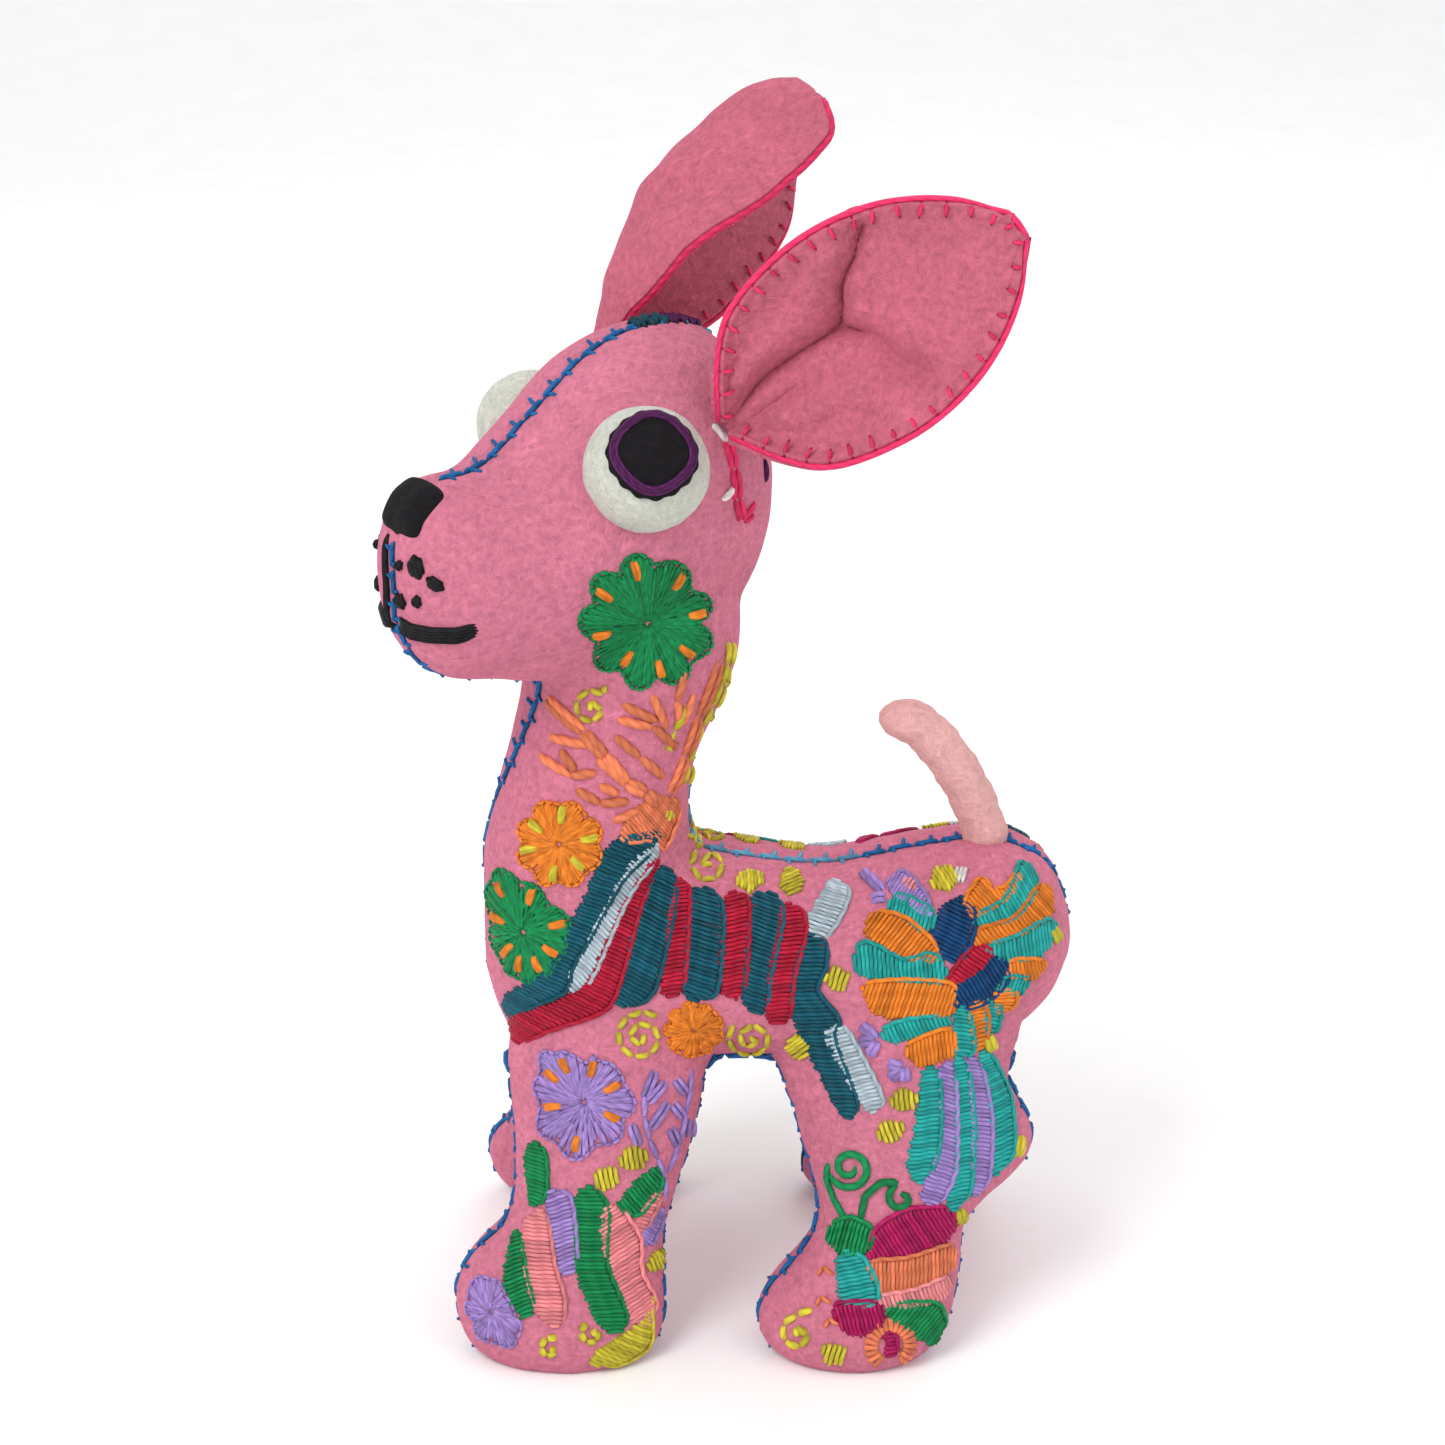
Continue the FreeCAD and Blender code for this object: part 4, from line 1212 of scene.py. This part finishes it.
def mixed(nodes, links, mode, factor, first, second):
    """Two colours mixed."""
    node = nodes.new("ShaderNodeMix")
    node.data_type = "RGBA"
    node.blend_type = mode
    feed(links, node.inputs["Factor"], factor)
    feed(links, node.inputs["A"], first)
    feed(links, node.inputs["B"], second)
    return node.outputs["Result"]


def combined(nodes, links, operation, first, second):
    node = nodes.new("ShaderNodeMath")
    node.operation = operation
    feed(links, node.inputs[0], first)
    feed(links, node.inputs[1], second)
    return node.outputs[0]


def shade(colour, factor):
    return tuple(min(1.0, c * factor) for c in colour[:3]) + (1.0,)


def felt(name, colour, pale=1.16, deep=0.80, bump=0.6, sheen=0.3):
    """Wool felt: matted fibres lying every way, cloudy colour, and a soft nap."""
    material, nodes, links, bsdf = shader(name, 0.95, sheen, shade(colour, 1.25))
    where = nodes.new("ShaderNodeTexCoord").outputs["Object"]
    clouds = add_noise(nodes, links, where, 90, 3)
    mottle = add_noise(nodes, links, where, 700, 3, 0.4)
    one_way = add_noise(nodes, links, where, 1150, 4, 1.2, ((0.4, 0.2, 0.6), (1.0, 0.16, 0.5)))
    other_way = add_noise(nodes, links, where, 1150, 4, 1.2, ((0.1, 0.9, 2.1), (0.2, 1.0, 0.6)))
    fibres = combined(nodes, links, "MAXIMUM", one_way, other_way)
    base = ramp(nodes, links, clouds, [(0.3, shade(colour, 0.92)), (0.7, shade(colour, 1.06))])
    speck = ramp(nodes, links, mottle, [(0.3, grey(deep)), (0.5, grey(1.0)), (0.75, grey(pale))])
    body = mixed(nodes, links, "MULTIPLY", 1.0, base, speck)
    hairs = ramp(nodes, links, fibres, [(0.45, grey(0.86)), (0.62, grey(1.0)), (0.76, grey(1.22))])
    links.new(mixed(nodes, links, "MULTIPLY", 1.0, body, hairs), bsdf.inputs["Base Color"])
    height = combined(nodes, links, "ADD", fibres, combined(nodes, links, "MULTIPLY", mottle, 0.8))
    relief = nodes.new("ShaderNodeBump")
    relief.inputs["Strength"].default_value = bump
    relief.inputs["Distance"].default_value = 0.7 * MM
    links.new(height, relief.inputs["Height"])
    links.new(relief.outputs["Normal"], bsdf.inputs["Normal"])
    return material


def thread_finish(colour_name):
    """Stranded cotton: a ply twist round each strand, with painted shade in the twist's grooves and a
    painted highlight on its crests, painted shade at each strand's ends, a soft gloss, and uneven
    dyeing.
    """
    colour = srgb(*COLOURS[colour_name])
    material, nodes, links, bsdf = shader(colour_name + "_thread_finish", 0.6, 0.03, shade(colour, 1.3))
    bsdf.inputs["Specular IOR Level"].default_value = 0.2
    tone = nodes.new("ShaderNodeAttribute")
    tone.attribute_name = "tone"
    # the depth attribute: painted shade at each strand's ends, where it goes into the felt
    depth = nodes.new("ShaderNodeAttribute")
    depth.attribute_name = "depth"
    uv = nodes.new("ShaderNodeUVMap")
    uv.uv_map = "twist"
    split = nodes.new("ShaderNodeSeparateXYZ")
    links.new(uv.outputs["UV"], split.inputs["Vector"])
    turns = combined(nodes, links, "MULTIPLY", split.outputs["X"], 2.2)
    around = combined(nodes, links, "MULTIPLY", split.outputs["Y"], 6 * math.pi)
    wave = nodes.new("ShaderNodeMath")
    wave.operation = "SINE"
    links.new(combined(nodes, links, "ADD", turns, around), wave.inputs[0])
    where = nodes.new("ShaderNodeTexCoord").outputs["Object"]
    fuzz = add_noise(nodes, links, where, 2600, 3, 0.5)
    patchy = add_noise(nodes, links, where, 260, 2)
    base = ramp(nodes, links, tone.outputs["Fac"],
                [(0.0, shade(colour, 0.74)), (0.5, colour), (1.0, shade(colour, 1.2))])
    raised = combined(nodes, links, "ADD", wave.outputs[0], 1.0)
    ply = combined(nodes, links, "MULTIPLY", raised, 0.5)
    # painted shade in the grooves of the twist (down to 0.78) and a painted highlight on its crests (up
    # to 1.08)
    ply_shade_and_highlight = ramp(nodes, links, ply, [(0.0, grey(0.78)), (0.4, grey(1.0)), (1.0, grey(1.08))])
    coloured = mixed(nodes, links, "MULTIPLY", 0.8, base, ply_shade_and_highlight)
    worn = ramp(nodes, links, patchy, [(0.3, grey(0.9)), (0.7, grey(1.06))])
    coloured = mixed(nodes, links, "MULTIPLY", 1.0, coloured, worn)
    # painted shade: the strand's ends darkened down to 0.3 where they go into the felt
    painted_end_shade = ramp(nodes, links, depth.outputs["Fac"], [(0.0, grey(0.3)), (0.75, grey(1.0))])
    links.new(mixed(nodes, links, "MULTIPLY", 1.0, coloured, painted_end_shade), bsdf.inputs["Base Color"])
    rough = combined(nodes, links, "MULTIPLY", fuzz, 1.2)
    height = combined(nodes, links, "ADD", wave.outputs[0], rough)
    relief = nodes.new("ShaderNodeBump")
    relief.inputs["Strength"].default_value = 0.5
    relief.inputs["Distance"].default_value = 0.09 * MM
    links.new(height, relief.inputs["Height"])
    links.new(relief.outputs["Normal"], bsdf.inputs["Normal"])
    return material


FINISHES = {}


def finish_for(colour):
    if colour not in FINISHES:
        FINISHES[colour] = thread_finish(colour)
    return FINISHES[colour]


def sew_on(threads, name, colour, node=None):
    """A piece made of threads, on the figure, which may stand for a CAD node."""
    piece = threads.build(name, finish_for(colour))
    if node:
        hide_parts(node)
    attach(piece, "figure")


PINK = felt("pink_wool_felt", srgb(221, 127, 153))
EAR_PINK = felt("ear_wool_felt", srgb(211, 109, 132))
TAIL_PINK = felt("pale_pink_wool_felt", srgb(240, 182, 180), pale=1.08, deep=0.9)
WHITE = felt("white_wool_felt", srgb(222, 224, 212), bump=0.8, pale=1.06, deep=0.88)
BLACK = felt("black_wool_felt", srgb(20, 16, 21), pale=1.8, deep=0.6, sheen=0.05)
FIBRE = felt("filling_fibre", srgb(236, 232, 224))


# ---------------------------------------------------------------- face and tail
def toward(pole, angle, tilt):
    """The direction tilted away from a pole, at an angle round it."""
    first = unit(np.cross(pole, UP))
    second = np.cross(first, pole)
    around = first * math.cos(angle) + second * math.sin(angle)
    return pole * math.cos(tilt) + around * math.sin(tilt)


def make_ball(label, centre, gaze, radius):
    """A felt ball, not quite round, with a felt pupil whose edge is oversewn in purple."""
    points, faces = round_ball(centre, gaze, radius, 48, 32)
    wobble = 0.28 * noise_at(points, 7.0, 4) + 0.12 * noise_at(points, 2.4, 5)
    outward = points - centre
    outward /= np.linalg.norm(outward, axis=1)[:, None]
    ball = new_object(label + "_eye_felt_ball", points + outward * wobble[:, None], faces, WHITE)
    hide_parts(label + "_eye_ball")
    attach(ball, "figure")

    pupil_radius = 0.73 * radius
    rings = []
    profile = [(0.0, 1.3), (0.5, 1.3), (0.8, 1.25), (0.95, 1.15), (1.0, 0.8), (1.02, 0.3), (0.99, -0.4)]
    for share, raised in profile:
        ring = []
        for k in range(72):
            angle = 2 * math.pi * k / 72
            scallop = 0.028 * math.sin(15 * angle) * share + 0.022 * math.sin(4 * angle + 1)
            tilt = max(0.012, share) * pupil_radius * (1 + scallop) / radius
            ring.append(centre + toward(gaze, angle, tilt) * (radius + raised))
        rings.append(ring)
    points, faces = loft(rings)
    pupil = new_object(label + "_pupil_felt", points, faces, BLACK)
    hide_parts(label + "_pupil")
    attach(pupil, "figure")

    threads = Threads()
    count = 9
    for row, radius_here in enumerate((0.52 * radius, 0.565 * radius, 0.61 * radius)):
        for k in range(count):
            angle = 2 * math.pi * (k + row * 0.37) / count
            placed = []
            for t in np.linspace(0.0, 1.3, 9):
                turn = angle + 2 * math.pi * t / count
                way = toward(gaze, turn, (radius_here + 0.25 * math.sin(4 * turn + 1)) / radius)
                placed.append((centre + way * (radius + 1.15), way))
            threads.lay(placed, 0.75, 0.7, 0.25, tuck=0.05, end_shade=0.3)
    sew_on(threads, label + "_pupil_stitching", "purple", label + "_pupil_ring")


def round_ball(centre, pole, radius, around, rows):
    """A ball as rings about its pole."""
    rings = []
    for i in range(1, rows):
        tilt = math.pi * i / rows
        rings.append([centre + toward(pole, 2 * math.pi * k / around, tilt) * radius
                      for k in range(around)])
    points, faces = loft(rings)
    return np.array(points), faces


def make_nose(body):
    """A patch of black felt over the tip of the muzzle, following the skin under it."""
    mesh = body.data
    points = points_of(mesh)
    local = points - np.array([NECK_X, 0, 0])
    reach = local @ FORWARD
    near = {i for i in range(len(points))
            if reach[i] > NOSE_BACK - 6.9 and points[i, 2] > NOSE_LOW - 5.0}
    kept = [tuple(p.vertices) for p in mesh.polygons if all(v in near for v in p.vertices)]
    used = sorted({v for face in kept for v in face})
    number = {v: k for k, v in enumerate(used)}
    faces = [tuple(number[v] for v in face) for face in kept]
    patch = new_object("nose_felt", points[used], faces, BLACK)
    even = patch.modifiers.new("even", "SMOOTH")
    even.factor = 0.5
    even.iterations = 26
    finer = patch.modifiers.new("finer", "SUBSURF")
    finer.levels = 2
    finer.render_levels = 2
    apply_modifiers(patch)
    points = points_of(patch.data)
    normals = normals_of(patch.data)
    local = points - np.array([NECK_X, 0, 0])
    side = np.abs(local @ HEAD_LEFT)
    edges = (local @ FORWARD - NOSE_BACK, NOSE_HALF - side, points[:, 2] - NOSE_LOW)
    inside = -np.log(sum(np.exp(-np.clip(edge, -20, 20) * 1.6) for edge in edges)) / 1.6
    height = -0.6 + 1.9 / (1 + np.exp(-np.clip(inside * 2.4, -30, 30)))
    height += 0.25 * noise_at(points, 3.5, 8)
    set_points(patch.data, points + normals * height[:, None])
    solid = patch.modifiers.new("thick", "SOLIDIFY")
    solid.thickness = 0.5 * MM
    solid.offset = -1.0
    apply_modifiers(patch)
    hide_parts("nose_patch")
    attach(patch, "figure")


def head_cloth(tree, side):
    """One side of the head, drawn on a plane turned a little to the front and looking down."""
    inward = -HEAD_LEFT * side * 0.779 - FORWARD * 0.525 - UP * 0.342
    first = unit(HEAD_LEFT * side * 0.559 - FORWARD * 0.829)
    second = -HEAD_LEFT * side * 0.2835 - FORWARD * 0.191 + UP * 0.94
    out = unit(-inward - UP * 0.342)
    return Cloth(tree, np.array([NECK_X, 0.0, 0.0]), first, unit(second), unit(inward), out)


# whisker stitches: reach, distance from the middle, height, length, width, lean in degrees
WHISKERS = [
    (49.3, 3.4, 165.6, 2.3, 1.4, 80), (48.0, 7.2, 166.0, 5.4, 2.5, 104),
    (46.3, 10.6, 163.4, 4.6, 1.9, 146), (49.4, 3.2, 158.8, 4.0, 2.0, 112),
    (48.2, 7.4, 159.6, 2.8, 1.5, 95),
]


def make_face(tree):
    """Mouth, lip line and whisker stitches in black thread, and the flower on each cheek."""
    mouth = Threads()
    whiskers = Threads()
    lip = Threads()
    tacks = {"white": Threads(), "hot_pink": Threads(), "purple": Threads()}
    for side, label in ((1, "left"), (-1, "right")):
        cloth = head_cloth(tree, side)

        def spot(reach, out, z):
            hit = tree.find_nearest(Vector(head_point(reach, out * side, z)))
            return np.array(cloth.drawn(np.array(hit[0])))

        line = [spot(*p) for p in ((50.0, 0.8, 153.8), (48.5, 5.0, 153.2), (46.5, 8.5, 153.2),
                                   (43.0, 11.8, 153.5), (39.3, 14.2, 154.2))]
        for k in range(-2, 3):
            bar = [p + np.array([0.25 * abs(k) * (-1 if p is line[-1] else 0), k * 0.5]) for p in line]
            cloth.rope(mouth, bar, 0.95, 1.2, 0.4)
        for reach, out, z, long, wide, lean in WHISKERS:
            further = 4.5 if side < 0 else 0.0
            middle = spot(reach - further, out + further, z)
            way = np.array([math.cos(math.radians(lean)), math.sin(math.radians(lean))])
            across = np.array([-way[1], way[0]])
            for k in (-1, 0, 1):
                half = way * long / 2 * (1.0 if k == 0 else 0.7)
                row = middle + across * wide * 0.27 * k
                cloth.strand(whiskers, [row - half, row + half], width=wide * 0.7, height=1.3,
                             lift=0.4, plump=True, end_shade=0.4)
        petals = Threads()
        knots = Threads()
        centre = spot(7.4, 24.0, 149.6)
        flower(cloth, petals, knots, centre, round_outline(centre, 12.0), 9, 8, knot_place=0.76)
        sew_on(petals, label + "_cheek_flower_petals", "green", label + "_cheek_flower")
        sew_on(knots, label + "_cheek_flower_knots", "orange")
        end = [spot(*p) for p in ((-9.5, 22, 184.5), (-10.5, 23, 179), (-11.0, 24, 173),
                                  (-12.5, 24, 168.5), (-15.0, 23, 169.5))]
        path_stitches(cloth, tacks["hot_pink"], end, width=1.3, double=True)
        path_stitches(cloth, tacks["hot_pink"], [end[3], end[3] + np.array([2.4, 3.4])], width=1.3)
        path_stitches(cloth, tacks["white"], [spot(-6.8, 21, 187.5), spot(-9.6, 22.5, 184)], width=1.5)
        path_stitches(cloth, tacks["white"], [spot(-10.5, 23.5, 175.6), spot(-7.2, 24, 173.6)],
                      width=1.5)
        path_stitches(cloth, tacks["purple"], [spot(-20.5, 18.5, 178.5), spot(-20.0, 19.5, 174)],
                      width=1.4)
    for out in (-1.5, -2.2):
        placed = [on_surface(tree, head_point(51.0, out, z)) for z in np.linspace(170.8, 152.0, 14)]
        lip.lay(placed, 1.2, 1.2, 0.1, tuck=0.1, taper=0.6, end_shade=0.2)
    sew_on(mouth, "mouth_satin_stitch", "black", "mouth_stitch")
    sew_on(whiskers, "whisker_satin_stitch", "black", "whisker_stitches")
    sew_on(lip, "lip_line_satin_stitch", "black", "lip_line_stitch")
    sew_on(tacks["white"], "ear_tacking_white", "white")
    sew_on(tacks["hot_pink"], "ear_tacking_pink", "hot_pink")
    sew_on(tacks["purple"], "ear_tacking_purple", "purple")


def make_crown(tree):
    """Dark threads worked across the seam behind the forehead, between the ears."""
    for colour, start, end in (("teal_tuft", -3.0, -10.5), ("purple", -10.5, -19.0)):
        threads = Threads()
        count = round((start - end) / 0.75)
        for k in range(count):
            reach = start + (end - start) * k / count
            half = 3.6 * (0.75 + 0.25 * math.sin(k * 1.9)) * rng.uniform(0.85, 1.15)
            top = 205.0
            placed = [on_surface(tree, head_point(reach + rng.uniform(-0.2, 0.2), half * t, top))
                      for t in (-1.0, -0.5, 0.0, 0.5, 1.0)]
            threads.lay(placed, 1.1, 1.2, 0.7)
        sew_on(threads, "crown_" + colour + "_stitches", colour)


def make_tail():
    """A curved tube of pale felt, sewn up one side, with a blunt hooked tip."""
    radius = 4.4
    lean = math.radians(-22.0)
    bend = 52.0
    length = 23.0
    to_centre = np.array([-math.cos(lean), 0, math.sin(lean)])
    rising = np.array([math.sin(lean), 0, math.cos(lean)])
    centre = TAIL_BASE + to_centre * bend
    rows = []
    root = 9.5
    for s in np.linspace(-root, length + 4.2, 50):
        turn = s / bend
        out = -to_centre * math.cos(turn) + rising * math.sin(turn)
        along = to_centre * math.sin(turn) + rising * math.cos(turn)
        if s < 0:
            size = max(0.05, 1 - (s / (root + 0.1)) ** 8) ** 0.5
        elif s > length:
            size = math.sqrt(max(0.02, 1 - ((s - length) / 4.35) ** 2))
        else:
            size = 1.0
        size *= 1 + 0.03 * math.sin(s * 0.9) + 0.02 * math.sin(s * 2.1 + 1)
        hook = np.array([-1.0, 0.0, -0.55]) * 1.9 * max(0.0, (s - 17.0) / 9.0) ** 2
        rows.append((centre + out * bend + hook, out, along, size))
    rings = []
    for spot, out, along, size in rows:
        ring = []
        for k in range(40):
            angle = 2 * math.pi * k / 40
            seam = 1 - 0.05 * math.exp(-((angle - 3.9) / 0.16) ** 2)
            way = out * math.cos(angle) + np.array([0, 1.0, 0]) * math.sin(angle)
            ring.append(spot + way * radius * size * seam)
        rings.append(ring)
    points, faces = loft(rings)
    points = np.array(points)
    middle = points.mean(axis=0)
    points = points + (points - middle) / np.linalg.norm(points - middle, axis=1)[:, None] * (
        0.14 * noise_at(points, 4.0, 6))[:, None]
    tail = new_object("tail_felt_tube", points, faces, TAIL_PINK)
    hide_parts("tail_cover", "tail_filling")
    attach(tail, "tail")


# ---------------------------------------------------------------- building everything
body = make_body(PINK)
tree = surface_tree(body.data)
body_points = points_of(body.data)

# the CAD pad of each motif, after the flank's name
PAD_OF = {
    "deer": "deer_embroidery", "bird": "bird_embroidery", "butterfly": "butterfly_embroidery",
    "leg_stripes": "leg_stripe_embroidery", "chest_flower": "chest_orange_flower",
    "green_flower": "chest_green_flower", "belly_flower": "belly_orange_flower",
    "violet_flower": "leg_violet_flower",
}


def sew_flank(label, side, recolour):
    """Sews one flank; the first thread of each motif stands for the motif's pad in CAD."""
    first = np.array([1.0, 0, 0])
    out = np.array([0.0, side, 0.0])
    flat = Cloth(tree, np.zeros(3), first, UP, -out, out)
    tilt = math.radians(20.0)
    second = np.array([0, -side * math.sin(tilt), math.cos(tilt)])
    inward = np.array([0, -side * math.cos(tilt), -math.sin(tilt)])
    cloth = Cloth(tree, np.zeros(3), first, second, inward, out)
    sewn = flank_stitches(cloth, flat, side, recolour)
    stood = set()
    for (motif, colour), threads in sewn.items():
        if not threads.points:
            continue
        pad = PAD_OF.get(motif) if motif not in stood else None
        stood.add(motif)
        sew_on(threads, label + "_" + motif + "_" + colour + "_stitches", colour,
               pad and label + "_" + pad)


sew_flank("left", -1, {})
sew_flank("right", 1, {"aqua": "dark_teal", "dark_teal": "aqua", "magenta": "violet",
                       "violet": "magenta"})


def sew_seams():
    """The blanket stitching on every seam."""
    threads = {"cobalt": Threads(), "light_blue": Threads()}
    middle = left_of_middle(body_points)

    def pick(p):
        on_back = p[2] > SPINE_LOW and SPINE_FROM < p[0] < SPINE_TO
        return threads["light_blue" if on_back else "cobalt"]

    def keep_middle(p):
        row = p[None, :]
        reach = (p - np.array([NECK_X, 0, 0])) @ FORWARD
        under_nose = reach > NOSE_BACK - 1.4 and p[2] > NOSE_LOW - 1.5
        return not in_gusset(row)[0] and not under_nose

    for chain in contour(body.data, body_points, middle, keep_middle):
        blanket(tree, chain, pick)
    sew_on(threads["cobalt"], "middle_seam_blanket_stitch", "cobalt", "middle_seam_thread")
    sew_on(threads["light_blue"], "spine_seam_blanket_stitch", "light_blue")
    for side, label in ((-1, "left"), (1, "right")):
        threads = Threads()
        values = outside_leg_middle(body_points, side)
        for chain in contour(body.data, body_points, values,
                             lambda p: 7.2 < p[2] < LEG_SEAM_TOP + 3):
            blanket(tree, chain, lambda p: threads)
        sew_on(threads, label + "_leg_seam_blanket_stitch", "cobalt", label + "_leg_seam_thread")


sew_seams()
make_face(tree)
make_crown(tree)
make_nose(body)
EYES = {
    "left": (8.5, 22.0, 181.5, 11.5, (0.80, 0.36, 0.53)),
    "right": (7.2, -20.6, 180.2, 10.5, (-0.94, -0.28, 0.04)),
}
for label, (reach, side, z, radius, look) in EYES.items():
    gaze = unit(HEAD_LEFT * look[0] + FORWARD * look[1] + UP * look[2])
    make_ball(label, head_point(reach, side, z), gaze, radius)
make_ear("left", LEFT_EAR, near_crease, EAR_PINK, finish_for("hot_pink"))
make_ear("right", RIGHT_EAR, far_crease, EAR_PINK, finish_for("hot_pink"))
make_tail()

filling = make_filling(body, FIBRE)
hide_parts(*[n for n in frame["nodes"] if n.endswith("_filling") and n != "tail_filling"])
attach(filling, "figure")
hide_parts("left_side_panel", "right_side_panel", "left_inner_panel", "right_inner_panel")
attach(body, "figure")


# ---------------------------------------------------------------- floor, light and camera
def make_stage():
    """A pale floor that curves up behind."""
    width = 6.0
    rows = [(-3.0, 0.0), (1.2, 0.0)]
    for k in range(1, 13):
        angle = math.pi / 2 * k / 12
        rows.append((1.2 + 1.0 * math.sin(angle), 1.0 - 1.0 * math.cos(angle)))
    rows.append((2.2, 4.0))
    points = []
    for y, z in rows:
        points.append((-width, y, z))
        points.append((width, y, z))
    faces = [(2 * i, 2 * i + 1, 2 * i + 3, 2 * i + 2) for i in range(len(rows) - 1)]
    mesh = bpy.data.meshes.new("floor")
    mesh.from_pydata(points, [], faces)
    mesh.polygons.foreach_set("use_smooth", [True] * len(mesh.polygons))
    floor = bpy.data.objects.new("floor", mesh)
    bpy.context.scene.collection.objects.link(floor)
    material, nodes, links, bsdf = shader("pale_floor", 0.9, 0.0, (1, 1, 1, 1))
    where = nodes.new("ShaderNodeTexCoord").outputs["Object"]
    grain = add_noise(nodes, links, where, 40, 3)
    tint = ramp(nodes, links, grain, [(0.3, grey(0.93)), (0.7, grey(0.96))])
    links.new(tint, bsdf.inputs["Base Color"])
    mesh.materials.append(material)


def make_light(name, place, aim, size, watts):
    data = bpy.data.lights.new(name, "AREA")
    data.shape = "DISK"
    data.size = size
    data.energy = watts
    light = bpy.data.objects.new(name, data)
    bpy.context.scene.collection.objects.link(light)
    light.location = place
    light.rotation_mode = "QUATERNION"
    light.rotation_quaternion = (Vector(aim) - Vector(place)).to_track_quat("-Z", "Y")


make_stage()
AIM = (0.0, 0.0, 0.12)
make_light("key", (-0.55, -0.75, 0.95), AIM, 0.6, 7.5)
make_light("fill", (0.85, -0.65, 0.55), AIM, 0.9, 1.6)
make_light("back", (0.3, 0.9, 0.9), AIM, 0.8, 3.0)

world = bpy.data.worlds.new("studio")
bpy.context.scene.world = world
world.use_nodes = True
world.node_tree.nodes["Background"].inputs["Color"].default_value = (1.0, 1.0, 1.0, 1.0)
world.node_tree.nodes["Background"].inputs["Strength"].default_value = 0.88
bpy.context.scene.view_settings.view_transform = "Standard"

camera_data = bpy.data.cameras.new("camera")
camera_data.lens = 80.0
camera_data.sensor_width = 36.0
camera_data.clip_start = 0.05
camera_data.clip_end = 20.0
camera = bpy.data.objects.new("camera", camera_data)
bpy.context.scene.collection.objects.link(camera)
DISTANCE = 620.0           # the camera's place, from a point on the animal's axis
ELEVATION = math.radians(20.0)
TARGET_Z = 124.5
camera.location = at(0, -DISTANCE * math.cos(ELEVATION), TARGET_Z + DISTANCE * math.sin(ELEVATION))
camera.rotation_euler = (math.pi / 2 - ELEVATION, 0.0, 0.0)
bpy.context.scene.camera = camera
